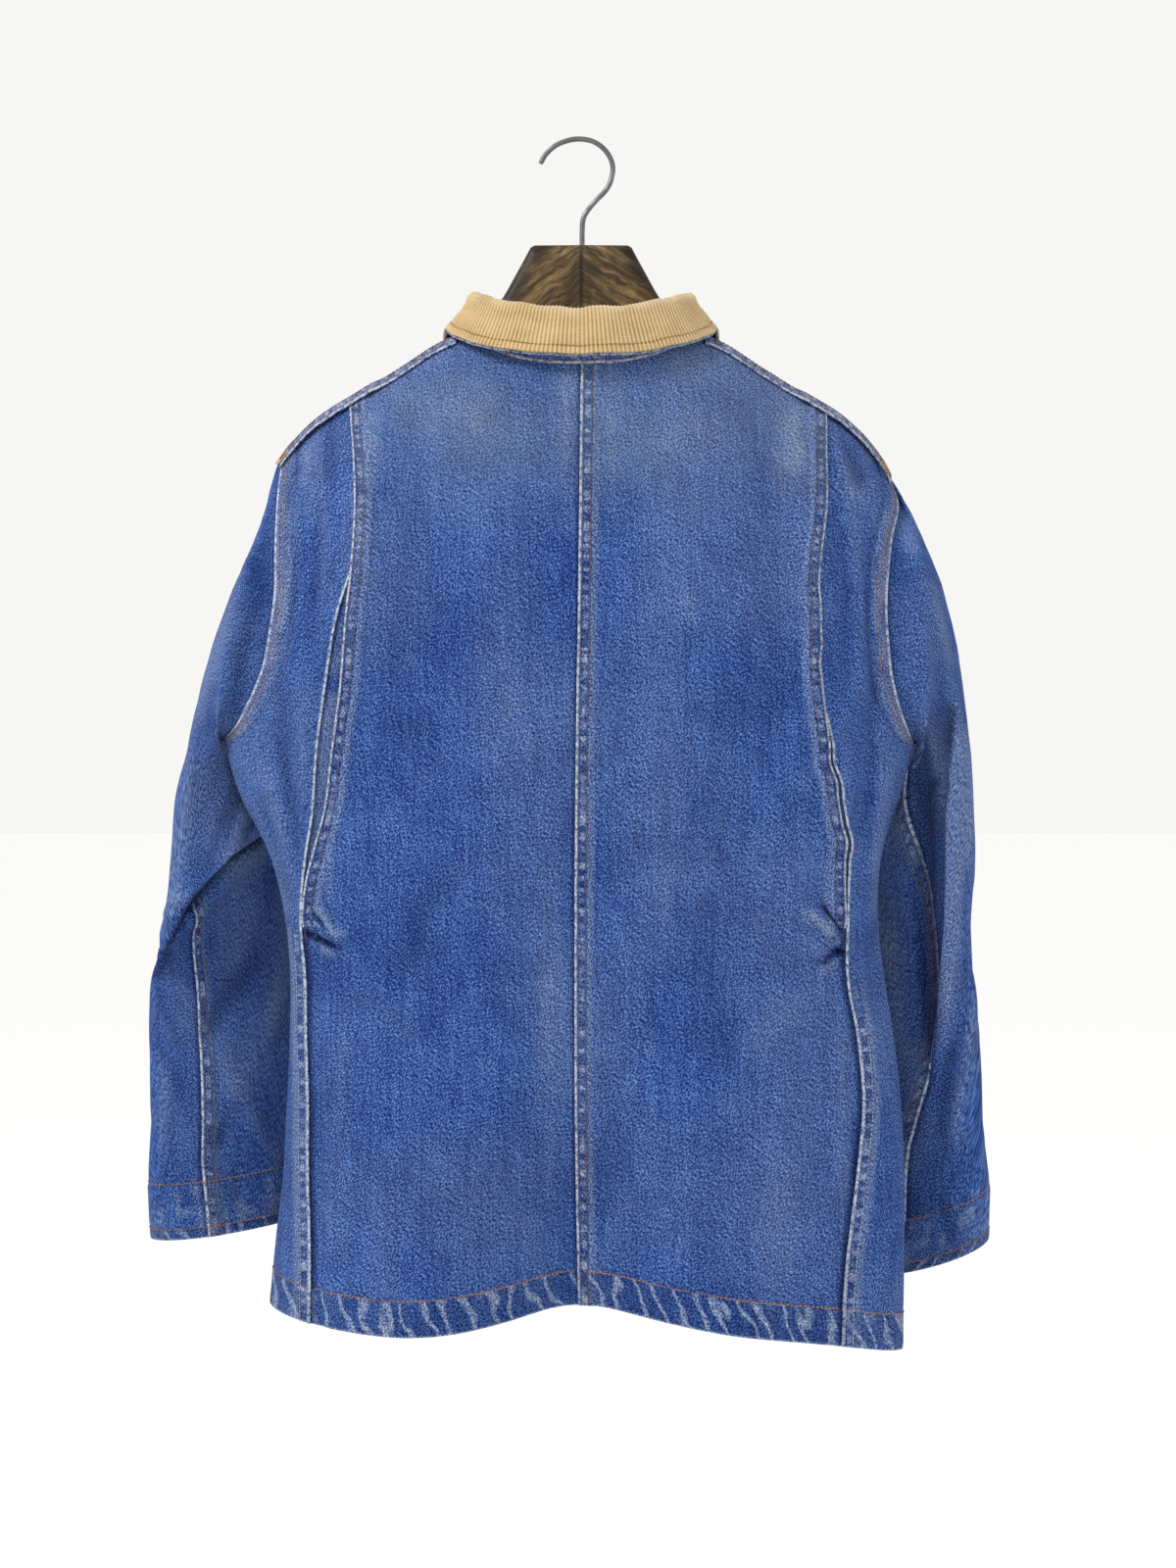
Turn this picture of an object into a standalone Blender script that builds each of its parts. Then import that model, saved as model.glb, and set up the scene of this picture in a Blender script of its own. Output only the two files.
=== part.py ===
"""A denim work jacket with a tan corduroy collar, on a contoured wooden hanger with a steel wire hook.

The jacket's back faces -Y and its fronts face +Y, and +Z is up. The origin is the point inside the top of the hook's
arch on which the whole thing hangs. Left means -X. Sizes are in millimetres from the body's middle plane, and a mesh
is moved to the hook's plane and scaled to metres when it is made. Each cloth piece is a grid of points on its outer
face, worked out from the tables below, with a wall behind.
"""

import bmesh
import bpy
import numpy as np

for thing in list(bpy.data.objects):
    bpy.data.objects.remove(thing)

# ---- driving dimensions -------------------------------------------------------------------------------------------
METRE = 0.001
HOOK_PLANE = 8.0  # how far the hook's plane is behind the body's middle plane
CLOTH = 1.2  # wall of one layer of denim
GAP = 0.3  # air between two pieces that touch
LAYER = CLOTH + GAP  # how far a lap stands off the piece under it
LAP = 10.5  # width of a felled seam
HEM = 28.0  # depth of the turned hem
CUFF = 43.0  # depth of the turned cuff
SHOULDER_LAP = 9.0  # how far the front comes over the shoulder
NECK_HALF = 91.0  # half width of the neck opening
ROOF_ROUND = 6.0  # how round the shoulder ridge is
ROOF_FALL = 45.0  # how fast the cloth falls away from the ridge
SIDE_POWER = 2.4  # squareness of the body's plan
GROOVE_WIDTH = 65.0  # half width of the hollow at the centre seam
TACK = -606.0  # height of the tack that ends each pleat
FRONT_OVERLAP = 18.0  # half width of the buttoned overlap
BUTTONS = 5
BUTTON_RADIUS = 8.5
WIRE = 2.0  # radius of the hook's wire

# Body sections: height, x of the left and right silhouettes, y of the left and right silhouettes, depth of the left
# and right halves of the back, share of that depth lost at the centre seam, depth of the front.
SECTION = np.array([
    # z, side_l, side_r, mid_l, mid_r, back_l, back_r, groove, front
    (-150, -252, 262, 0, 0, 60, 60, 0.00, 62),
    (-250, -253, 262, 0, 0, 62, 62, 0.00, 66),
    (-350, -264, 262, 0, 0, 66, 66, 0.02, 70),
    (-462, -278, 259, 0, 0, 68, 70, 0.06, 74),
    (-500, -267, 249, 0, 0, 69, 71, 0.08, 76),
    (-550, -242, 233, 0, -2, 70, 72, 0.12, 80),
    (-606, -229, 230, 2, -5, 72, 72, 0.18, 84),
    (-650, -226, 235, 4, -8, 75, 72, 0.24, 86),
    (-700, -227, 242, 7, -14, 79, 72, 0.32, 88),
    (-750, -230, 246, 12, -21, 84, 72, 0.42, 90),
    (-800, -233, 247, 17, -29, 89, 71, 0.55, 93),
    (-850, -239, 246, 21, -35, 94, 70, 0.72, 96),
    (-930, -247, 244, 25, -40, 98, 70, 0.90, 100),
], float)
# The shoulder ridge: distance from the middle, height, y.
RIDGE = np.array([
    (0, -104, -8), (60, -131, -6), (91, -148, -4), (110, -156, -2), (137, -173, 0), (174, -195, 5), (205, -214, 10),
    (221, -229, 13), (232, -243, 15), (242, -262, 17), (252, -290, 18), (300, -440, 18),
], float)
# Neck edge of the back and of the fronts: distance from the middle, height.
BACK_NECK = np.array([(0, -178), (30, -175.5), (60, -167), (80, -156), (91, -148)], float)
FRONT_NECK = np.array([(0, -240), (25, -237), (50, -224), (72, -196), (85, -166), (91, -148)], float)
# Armholes: height, x of the back edge, x of the front edge. The first row is the shoulder, the last the underarm.
ARMHOLE = {
    -1: np.array([
        (-243, -232, -232), (-260, -234, -229), (-283, -235, -222), (-316, -235, -214), (-345, -234, -212),
        (-381, -238, -218), (-409, -244, -230), (-435, -256, -247), (-452, -267, -262), (-462, -278, -278),
    ], float),
    1: np.array([
        (-256, 239, 239), (-272, 246, 234), (-309, 239, 222), (-352, 234, 214), (-387, 235, 216),
        (-423, 240, 226), (-447, 248, 240), (-458, 254, 250), (-466, 259, 259),
    ], float),
}
# Back edge of the pleat, and below the tack the side seam: height, left x, right x, and how far the side panel's own
# fold lies from that edge on the left and on the right (tucked under it where negative).
PLEAT = np.array([
    # z, x_l, x_r, fold_l, fold_r
    (-200, -179, 190, -9, -9), (-240, -174, 188, -9, -9), (-280, -171.5, 187, -8, -8), (-325, -173, 182, -3, -6),
    (-365, -177, 180, 6, -3), (-425, -182, 182.5, 11, -2), (-470, -188, 188, 11, 2), (-520, -195, 198, 8, 3),
    (-547, -203, 201.5, 5, 3), (-575, -210, 201.5, 2, 2), (-606, -213, 201, 0.5, 0.5), (-640, -210.5, 201, 0, 0),
    (-690, -209.5, 209, 0, 0), (-735, -208, 212, 0, 0), (-790, -208, 206, 0, 0), (-850, -206, 198, 0, 0),
    (-930, -206, 193, 0, 0),
], float)
CENTRE = np.array([(-170, 0), (-345, -2), (-440, -3.5), (-800, -4), (-900, -2)], float)
# Hem: x, height at the back, height at the front.
HEM_LINE = np.array([
    (-250, -900, -900), (-200, -907, -903), (-140, -909, -907), (-60, -902, -909), (0, -895, -910), (60, -900, -911),
    (110, -905, -913), (190, -914, -918), (248, -924, -924),
], float)
# Where the side panel's drape turns away beside the right-hand seam: height, x of the turn, how far it goes back.
TURN = np.array([
    (-500, 252, 0), (-543, 232, 0), (-574, 220, 8), (-608, 214, 18), (-650, 214, 22), (-700, 222, 16),
    (-760, 226, 6), (-800, 226, 0),
], float)


def through(table, column, at):
    """Value at a height or distance of the smooth curve through a table's first column and another of its columns."""
    order = np.argsort(table[:, 0])
    xs, ys = table[order, 0], table[order, column]
    slope = np.gradient(ys, xs)
    at = np.clip(at, xs[0], xs[-1])
    k = np.clip(np.searchsorted(xs, at, side="right") - 1, 0, len(xs) - 2)
    span = xs[k + 1] - xs[k]
    t = (at - xs[k]) / span
    rise = ys[k + 1] - ys[k]
    return (ys[k] + t * t * (3 - 2 * t) * rise
            + span * (t * (1 - t) ** 2 * slope[k] - t * t * (1 - t) * slope[k + 1]))


def ease(low, high, at):
    """0 below low, 1 above high, and a smooth step between."""
    t = np.clip((at - low) / (high - low), 0, 1)
    return t * t * (3 - 2 * t)


# ---- the body's form ----------------------------------------------------------------------------------------------
def side_x(side, z):
    """x of the silhouette on one side."""
    return through(SECTION, 1 if side < 0 else 2, z)


def centre_x(z):
    return through(CENTRE, 1, z)


def ridge_z(x):
    return through(RIDGE, 1, np.abs(x))


def roof(x, z):
    """0 at the shoulder ridge, growing to 1 well below it: how far the cloth has fallen away from the hanger."""
    drop = np.maximum(ridge_z(x) - z, 0)
    return 1 - np.exp(-np.sqrt(drop ** 2 + 2 * ROOF_ROUND * drop) / ROOF_FALL)


def middle_y(x, z):
    """y of the plane that the back lies behind and the fronts before."""
    low, high = side_x(-1, z), side_x(1, z)
    share = np.clip((x - low) / (high - low), 0, 1)
    across = through(SECTION, 3, z) * (1 - share) + through(SECTION, 4, z) * share
    return across + through(RIDGE, 2, np.abs(x)) * np.exp(-np.maximum(ridge_z(x) - z, 0) / 140)


def crown(x, z):
    """Depth of the plan from 1 at the centre seam to 0 at the silhouettes, on a rounded-square curve."""
    middle = centre_x(z)
    reach = np.where(x < middle, middle - side_x(-1, z), side_x(1, z) - middle)
    share = np.clip(np.abs(x - middle) / reach, 0, 1)
    return np.sqrt(np.clip(1 - share ** SIDE_POWER, 0, 1))


def back_y(x, z):
    """y of the back's outer face: crown times roof, hollowed at the centre seam and turned in beside the side seam."""
    middle = centre_x(z)
    right = ease(-60, 60, x - middle)
    deep = through(SECTION, 5, z) * (1 - right) + through(SECTION, 6, z) * right
    hollow = 1 - through(SECTION, 7, z) * np.exp(-((x - middle) / GROOVE_WIDTH) ** 2)
    turn = through(TURN, 2, z) * ease(0, 14, x - through(TURN, 1, z)) * crown(x, z)
    return middle_y(x, z) - deep * hollow * crown(x, z) * roof(x, z) + turn


def front_y(x, z):
    """y of the fronts' outer face."""
    return middle_y(x, z) + through(SECTION, 8, z) * crown(x, z) * roof(x, z)


def on_body(x, z, back):
    """Points on the body's outer face."""
    return np.stack([x, back_y(x, z) if back else front_y(x, z), z], axis=-1)


# ---- walls of cloth -----------------------------------------------------------------------------------------------
def grid_quads(rows, columns, first=0, flip=False, closed=False):
    """Quads of a grid of points stored row by row, facing the viewer who sees rows go down and columns go right."""
    i, j = np.meshgrid(np.arange(rows - 1), np.arange(columns if closed else columns - 1), indexing="ij")
    right = (j + 1) % columns
    quads = np.stack([i * columns + j, (i + 1) * columns + j, (i + 1) * columns + right, i * columns + right], axis=-1)
    quads = quads.reshape(-1, 4) + first
    return quads[:, ::-1] if flip else quads


def point_normals(points, quads):
    """Normal at each point: the sum of the crossed diagonals of the quads that meet there."""
    face = np.cross(points[quads[:, 2]] - points[quads[:, 0]], points[quads[:, 3]] - points[quads[:, 1]])
    total = np.zeros_like(points)
    for corner in range(4):
        np.add.at(total, quads[:, corner], face)
    return total / np.maximum(np.linalg.norm(total, axis=1, keepdims=True), 1e-9)


def lifted(points, off, flip=False):
    """A grid of points (rows, columns, 3) moved out along its own normals by off, a number or one per point."""
    rows, columns = points.shape[:2]
    flat = points.reshape(-1, 3)
    normals = point_normals(flat, grid_quads(rows, columns, flip=flip))
    return (flat + normals * np.broadcast_to(off, (rows, columns)).reshape(-1, 1)).reshape(points.shape)


def paint(name, colour, roughness, metallic=0.0):
    material = bpy.data.materials.new(name)
    material.use_nodes = True
    shader = material.node_tree.nodes["Principled BSDF"]
    shader.inputs["Base Color"].default_value = (*colour, 1.0)
    shader.inputs["Roughness"].default_value = roughness
    shader.inputs["Metallic"].default_value = metallic
    return material


def solid(name, points, faces, material, smooth=True):
    """A closed mesh object from points in millimetres."""
    mesh = bpy.data.meshes.new(name)
    points = (np.asarray(points) + (0, HOOK_PLANE, 0)) * METRE
    mesh.from_pydata(points.tolist(), [], [list(map(int, face)) for face in faces])
    work = bmesh.new()
    work.from_mesh(mesh)
    bmesh.ops.remove_doubles(work, verts=work.verts, dist=1e-6)
    bmesh.ops.triangulate(work, faces=work.faces)
    work.to_mesh(mesh)
    work.free()
    mesh.materials.append(material)
    if smooth:
        mesh.shade_smooth()
        mesh.set_sharp_from_angle(angle=0.7)
    made = bpy.data.objects.new(name, mesh)
    bpy.context.scene.collection.objects.link(made)
    return made


def cloth(name, points, quads, depth, material):
    """A wall: the given points are its outer face, its inner face is depth behind, and a rim closes the free edges."""
    normals = point_normals(points, quads)
    inner = points - normals * np.broadcast_to(depth, (len(points),)).reshape(-1, 1)
    return between(name, points, inner, quads, material)


def between(name, points, inner, quads, material):
    """A wall from its outer points and its inner points, with a rim round its free edges."""
    count = len(points)
    edges = np.concatenate([quads[:, [k, (k + 1) % 4]] for k in range(4)])
    keys = edges[:, 0] * count + edges[:, 1]
    free = edges[~np.isin(keys, edges[:, 1] * count + edges[:, 0])]
    rim = np.stack([free[:, 1], free[:, 0], free[:, 0] + count, free[:, 1] + count], axis=-1)
    faces = np.concatenate([quads, quads[:, ::-1] + count, rim])
    return solid(name, np.concatenate([points, inner]), faces, material)


DENIM = paint("denim", (0.055, 0.12, 0.36), 0.85)
CORDUROY = paint("corduroy", (0.70, 0.52, 0.27), 0.9)
WOOD = paint("hanger_wood", (0.09, 0.06, 0.03), 0.5)
STEEL = paint("hook_steel", (0.30, 0.31, 0.33), 0.4, 1.0)
BRASS = paint("button_metal", (0.45, 0.33, 0.18), 0.4, 1.0)


# ---- rows and columns of the body pieces --------------------------------------------------------------------------
UNDERARM = {-1: -462.0, 1: -466.0}
ROWS = (11, 7, 10)  # from the top to the underarm, on to the tack, and on to the hem
# Shares of the drop from the top to the underarm at which the upper rows lie: close together over the shoulder.
UPPER = (0, 0.012, 0.035, 0.08, 0.16, 0.28, 0.42, 0.57, 0.72, 0.86, 0.955)
SWAP = 9.0  # height in which the lap changes over at the tack


def row_heights(top, side, hem):
    """Heights of a column's points from its top to its hem. The underarm and the tack are rows of their own, and so
    are the turned hem's upper edge and the ends of the change of lap at the tack."""
    top = np.asarray(top, float)
    hem = np.broadcast_to(hem, top.shape)
    arm = UNDERARM[side]
    upper = [top + (arm - top) * t for t in UPPER]
    waist = [np.full(top.shape, z) for z in np.linspace(arm, TACK + SWAP, ROWS[1])]
    lower = [np.full(top.shape, TACK - SWAP), np.full(top.shape, TACK - 2 * SWAP)]
    skirt = [TACK - 2 * SWAP + (hem + HEM - TACK + 2 * SWAP) * t for t in np.linspace(0, 1, ROWS[2])[1:]]
    return np.stack(upper + waist + lower + skirt + [hem], axis=0)


def hem_z(x, back):
    return through(HEM_LINE, 1 if back else 2, x)


def back_top(x):
    """Top edge of the back: the neck edge, then just under the shoulder ridge."""
    return np.where(np.abs(x) < NECK_HALF, through(BACK_NECK, 1, np.abs(x)), ridge_z(x) - 2.0)


def seam_x(side, z):
    """x of the pleat's back edge, and of the side seam below the tack."""
    return through(PLEAT, 1 if side < 0 else 2, z)


def hem_depth(z, hem):
    """Wall behind each point: two layers in the turned hem."""
    return np.where(z < hem + HEM * 0.6, 2 * CLOTH, CLOTH)


# Columns of a back half: share of its width from the centre seam, and millimetres beyond that.
BACK_COLUMNS = {
    -1: [(0, -9.0), (0, 0), (0.10, 0), (0.22, 0), (0.35, 0), (0.50, 0), (0.65, 0), (0.80, 0), (1, -22), (1, -12),
         (1, 0)],
    1: [(0, 0), (0, LAP), (0, LAP + 4), (0.22, 0), (0.35, 0), (0.50, 0), (0.65, 0), (0.80, 0), (1, -22), (1, -12),
        (1, 0)],
}


def make_back(side):
    """One half of the back. Its outer edge lies over the side panel down to the tack and under it below. The right
    half's inner edge is the felled centre seam and lies over the left half."""
    share, beyond = np.array(BACK_COLUMNS[side], float).T
    x = np.tile(side * (share * 185 + beyond), (2, 1))
    for _ in range(3):
        z = row_heights(back_top(x[0]), side, hem_z(x[-1], True))
        middle = centre_x(z)
        under = np.where(z < TACK - SWAP, 5.5 * ease(TACK - SWAP, TACK - 2 * SWAP, z), 0)
        reach = beyond + under * (share == 1)
        x = middle + share * (seam_x(side, z) - middle) + side * reach
    sign = np.where(z > TACK, 1, -1) * ease(0, SWAP, np.abs(z - TACK))
    off = LAYER * sign * (share == 1) * (beyond >= -12) * np.where((z < TACK) & (beyond == 0), 1.4, 1)
    if side > 0:
        off = off + LAYER * (share == 0) * (beyond < LAP + 1)
    points = lifted(on_body(x, z, True), off, flip=side < 0)
    depth = np.where(off > 0, CLOTH, hem_depth(z, z[-1]))
    quads = grid_quads(*points.shape[:2], flip=side < 0)
    return cloth("back_left" if side < 0 else "back_right", points.reshape(-1, 3), quads, depth.reshape(-1), DENIM)


def angle_at(side, x, z):
    """Angle round the plan, from 0 at the centre to a quarter turn at the silhouette."""
    middle = centre_x(z)
    share = side * (x - middle) / np.abs(side_x(side, z) - middle)
    return np.arcsin(np.clip(share, -1, 1))


def x_at(side, angle, z):
    middle = centre_x(z)
    return middle + side * np.sin(angle) * np.abs(side_x(side, z) - middle)


def armhole_x(side, z, back):
    return through(ARMHOLE[side], 1 if back else 2, z)


def body_edge_angle(side, z, back):
    """Angle of the armhole's edge above the underarm, and a quarter turn below it."""
    above = angle_at(side, armhole_x(side, z, back), z)
    return np.where(z > UNDERARM[side] + 0.01, above, np.pi / 2)


# Columns of a front and its side panel: share of the angle from the first edge to the last, and millimetres beyond.
SIDE_COLUMNS = np.array([(0, 0), (0, LAP + 1), (0.36, 0), (0.58, 0), (0.80, 0), (1, 0)])
FRONT_COLUMNS = np.array([
    (0, 0), (0.11, 0), (0.22, 0), (0.34, 0), (0.46, 0), (0.58, 0), (0.70, 0), (0.80, 0), (0.90, 0), (1, -24),
    (1, FRONT_OVERLAP),
])
NECK_COLUMN = 6  # the front's column whose top is at the neck side


def front_top(x):
    return np.where(np.abs(x) < NECK_HALF - 0.01, through(FRONT_NECK, 1, np.abs(x)), ridge_z(x))


def side_panel(side):
    """Points of the side panel, from the pleat or the side seam to the armhole or the silhouette, and its wall."""
    share, beyond = SIDE_COLUMNS.T
    x = side * np.linspace(185, 238, len(share)) * np.ones((2, 1))
    for _ in range(3):
        top = ridge_z(x[0]) - 2.0
        top[-1] = ARMHOLE[side][0, 0] - 2.0
        z = row_heights(top, side, hem_z(x[-1], True))
        fold = through(PLEAT, 3 if side < 0 else 4, z)
        start = angle_at(side, seam_x(side, z) + side * fold, z)
        end = body_edge_angle(side, z, True)
        x = x_at(side, start + (end - start) * share, z) + side * beyond
    depth = np.where(np.arange(len(share)) < 2, CLOTH, hem_depth(z, z[-1]))
    return on_body(x, z, True), depth


def front_panel(side, panel):
    """Points of the front, from the armhole or the silhouette to past the centre, and its wall."""
    share, beyond = FRONT_COLUMNS.T.copy()
    x = side * np.linspace(238, 0, len(share)) * np.ones((2, 1))
    for _ in range(6):
        top = front_top(x[0])
        top[NECK_COLUMN] = ridge_z(NECK_HALF)
        top[0] = ARMHOLE[side][0, 0]
        z = row_heights(top, side, hem_z(x[-1], False))
        z[-2:, 0] = panel[-2:, -1, 2]
        start = body_edge_angle(side, z, False)
        end = angle_at(side, centre_x(z), z)
        at_neck = angle_at(side, side * NECK_HALF, top[NECK_COLUMN])
        share[NECK_COLUMN] = (start[0, 0] - at_neck) / (start[0, 0] - end[0, 0])
        x = x_at(side, start + (end - start) * share, z) - side * beyond
    off = 1.15 * LAYER * np.broadcast_to((share == 1) * (side < 0), z.shape)
    points = lifted(on_body(x, z, False), off, flip=side < 0)
    # Towards the shoulder ridge the front rises by one layer, to lie over the back.
    on_shoulder = np.arange(len(share)) <= NECK_COLUMN
    rise = ease(30, 0, ridge_z(x) - z) * on_shoulder * (1 + ease(-28, -14, beyond_pleat(side, x)))
    rise[1:, 0] = 0
    points = points + rise[..., None] * over_ridge(x)
    depth = np.where(off > 0, CLOTH, hem_depth(z, z[-1]))
    return points, depth


def beyond_pleat(side, x):
    """How far a point on the shoulder lies outside the pleat's back edge."""
    return side * (x - seam_x(side, -210.0))


def over_ridge(x):
    """One layer, square to the shoulder ridge seen from the back."""
    slope = (ridge_z(np.abs(x) + 1) - ridge_z(np.abs(x) - 1)) / 2
    across = -slope * np.sign(x)
    length = np.hypot(slope, 1)
    return LAYER * np.stack([across / length, 0 * x, 1 / length], axis=-1)


def body_normal(x, z, back):
    """Outward normal of the body's outer face, from its slopes."""
    step = 0.5
    face = back_y if back else front_y
    slope_x = (face(x + step, z) - face(x - step, z)) / (2 * step)
    slope_z = (face(x, z + step) - face(x, z - step)) / (2 * step)
    sign = 1 if back else -1
    normal = np.stack([sign * slope_x, -sign * np.ones_like(x), sign * slope_z], axis=-1)
    return normal / np.linalg.norm(normal, axis=-1, keepdims=True)


def armhole_edge(panel, front):
    """Points round the armhole, from the shoulder down the side panel's edge and up the front's, and at each the
    direction in the cloth out over the edge."""
    arm = ROWS[0]
    down, up = slice(1, arm), slice(arm - 1, 0, -1)
    points = np.concatenate([front[:1, 0], panel[down, -1], panel[arm:arm + 1, -1], front[up, 0]])
    inward = np.concatenate([front[:1, 1], panel[down, -2], panel[arm + 1:arm + 2, -1], front[up, 1]])
    out = points - inward
    return points, out / np.linalg.norm(out, axis=-1, keepdims=True)


def make_front(side):
    """One front with its side panel, cut in one cloth that meets itself below the armhole. At the top it laps the
    back by the width of the shoulder seam."""
    panel, panel_depth = side_panel(side)
    front, front_depth = front_panel(side, panel)
    armhole = armhole_edge(panel, front)
    shoulder = slice(0, NECK_COLUMN + 1)
    laps = []
    for drop in (2.5, 5.5, SHOULDER_LAP):
        x = front[0, shoulder, 0]
        z = ridge_z(x) - drop
        lift = (LAYER + 0.4) * (1 + ease(-28, -14, beyond_pleat(side, x)))
        laps.append(on_body(x, z, True) + body_normal(x, z, True) * lift[:, None])
    lap = np.stack([front[0, shoulder]] + laps)
    rows, columns = panel.shape[:2]
    points = np.concatenate([panel.reshape(-1, 3), front.reshape(-1, 3), lap.reshape(-1, 3)])
    lap_depth = np.full(lap.shape[0] * lap.shape[1], CLOTH)
    depth = np.concatenate([panel_depth.reshape(-1), front_depth.reshape(-1), lap_depth])
    first_front = rows * columns
    first_lap = first_front + front.shape[0] * front.shape[1]
    turned = side < 0
    quads = np.concatenate([
        grid_quads(rows, columns, flip=turned),
        grid_quads(*front.shape[:2], first=first_front, flip=turned),
        grid_quads(*lap.shape[:2], first=first_lap, flip=not turned),
    ])
    # Points that two of the three grids share become one: the silhouette below the underarm, and the ridge.
    same = np.arange(len(points))
    for i in range(ROWS[0], rows):
        same[first_front + i * front.shape[1]] = i * columns + columns - 1
    for j in range(NECK_COLUMN + 1):
        same[first_lap + j] = first_front + j
    used, quads = np.unique(same[quads], return_inverse=True)
    cloth("front_left" if side < 0 else "front_right", points[used], quads.reshape(-1, 4), depth[used], DENIM)
    return armhole


# ---- pleats -------------------------------------------------------------------------------------------------------
PLEAT_WALL = 1.0
PLEAT_SLOT = 0.4


def capped_sweep(name, rings, material, smooth=True):
    """A closed solid through rings of points, with a flat face over each end."""
    rows, around = rings.shape[:2]
    quads = grid_quads(rows, around, closed=True).tolist()
    caps = [list(range(around)), list(range(rows * around - 1, (rows - 1) * around - 1, -1))]
    points = rings.reshape(-1, 3)
    made = solid(name, points, quads + caps, material, smooth)
    work = bmesh.new()
    work.from_mesh(made.data)
    bmesh.ops.recalc_face_normals(work, faces=work.faces)
    if work.calc_volume(signed=True) < 0:
        bmesh.ops.reverse_faces(work, faces=work.faces)
    work.to_mesh(made.data)
    work.free()
    return made


def make_pleat(side):
    """The strip folded under the back's edge: one layer goes in under the back, turns, and comes out again under the
    first. Its plan is a flat C, swept down from the shoulder to the tack."""
    heights = row_heights(ridge_z(seam_x(side, -210.0))[None] - 2, side, -900.0)[3:sum(ROWS[:2]) - 1, 0]
    inward = through(np.array([(-220, 40), (-450, 36), (-560, 24), (-600, 16)], float), 1, heights)
    fold = through(PLEAT, 3 if side < 0 else 4, heights)
    outward = np.maximum(fold, 0) + 7
    top = LAYER + 0.7
    low = top + 2 * PLEAT_WALL + PLEAT_SLOT
    shape = [(1, 0, top), (0, 0, top), (0, 0, low), (1, -2, low), (1, -2, low - PLEAT_WALL),
             (0, PLEAT_WALL, low - PLEAT_WALL), (0, PLEAT_WALL, top + PLEAT_WALL), (1, 0, top + PLEAT_WALL)]
    rings = []
    for end, shift, under in shape:
        reach = np.where(end, outward, -inward) + shift
        x = seam_x(side, heights) + side * reach
        rings.append(on_body(x, heights, True) - body_normal(x, heights, True) * under)
    capped_sweep("pleat_left" if side < 0 else "pleat_right", np.stack(rings, axis=1), DENIM, smooth=False)


# ---- sleeves ------------------------------------------------------------------------------------------------------
# Rings of a sleeve below its armhole: the outer point and the inner point of each, and how far its back and its front
# stand off the line between them.
SLEEVE = {
    -1: np.array([
        # outer x, y, z, inner x, y, z, back, front
        (-252, 19, -300, -283, 8, -468, 44, 46), (-274, 19, -352, -282, 22, -478, 44, 46),
        (-287, 18, -389, -278, 36, -486, 42, 46), (-297, 17, -429, -270, 48, -493, 40, 46),
        (-307, 16, -471, -261, 58, -499, 38, 46), (-316, 16, -508, -251, 66, -503, 36, 45),
        (-319, 16, -548, -242, 72, -506, 35, 44), (-324, 17, -595, -235, 77, -509, 36, 43),
        (-332, 18, -634, -229, 81, -513, 38, 42), (-334, 22, -640, -229, 84, -520, 12, 42),
        (-338, 24, -672, -227, 86, -565, 14, 40), (-338, 22, -714, -224, 86, -630, 18, 36),
        (-337, 18, -760, -220, 85, -705, 22, 33), (-338, 14, -806, -216, 83, -785, 24, 30),
        (-335, 12, -849, -213, 82, -838, 24, 28),
    ], float),
    1: np.array([
        (263, 19, -296, 264, 8, -472, 44, 46), (278, 18, -330, 262, 22, -481, 44, 46),
        (287, 17, -362, 257, 36, -489, 42, 46), (295, 16, -398, 250, 48, -496, 40, 46),
        (301, 15, -445, 243, 58, -504, 37, 45), (303, 14, -495, 236, 66, -516, 34, 44),
        (305, 14, -556, 229, 73, -540, 30, 42), (304, 15, -619, 223, 79, -585, 27, 40),
        (308, 16, -675, 218, 83, -640, 26, 37), (313, 15, -731, 215, 85, -700, 25, 34),
        (317, 13, -790, 213, 85, -765, 25, 31), (318, 12, -812, 213, 84, -832, 25, 29),
        (317, 12, -849, 214, 82, -888, 24, 28),
    ], float),
}


def make_sleeve(side, armhole):
    """A sleeve in one piece, wrapped round to a felled seam: from the armhole's edge it runs on in the body's own
    cloth, and then down through its rings. The cuff is turned in."""
    edge, out = armhole
    table = SLEEVE[side]
    down = np.arccos(1 - 2 * np.array(UPPER + (1,)))
    turn = np.concatenate([down, 2 * np.pi - down[-2:0:-1]])
    outer, inner = table[:, None, 0:3], table[:, None, 3:6]
    depth = np.where(turn < np.pi, table[:, 6:7], table[:, 7:8])
    rings = (outer + inner) / 2 + (outer - inner) / 2 * np.cos(turn)[:, None]
    rings[..., 1] -= depth * np.sin(turn)
    start = np.where(np.cos(turn) > 0.8, 1.3, 0.6)[:, None]
    points = np.concatenate([(edge + out * start)[None], (edge + out * (start + 2.2))[None], rings])
    wall = np.full(points.shape[:2], CLOTH)
    wall[-2:] = 2 * CLOTH
    quads = grid_quads(*points.shape[:2], flip=side > 0, closed=True)
    name = "sleeve_left" if side < 0 else "sleeve_right"
    cloth(name, points.reshape(-1, 3), quads, wall.reshape(-1), DENIM)


# ---- collar -------------------------------------------------------------------------------------------------------
CORD = 1.6  # wall of the corduroy
NECK_CENTRE_Y = 4.0
# The collar round the neck: angle from the centre back, then outward and upward distances from the neck seam of the
# roll and of the collar's edge, and how far the edge leans towards the side.
COLLAR = np.array([
    (0, -4, 40, 15, 3, 0), (45, -6, 37, 15, 2, 0), (75, -10, 32, 13, 1, 0), (90, -11, 30, 13, 3, 0),
    (110, -10, 27, 20, 1, 1), (135, -7, 21, 23, -24, 4), (155, -4, 15, 19, -40, 10), (171, -3, 12, 14, -54, 22),
], float)
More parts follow.
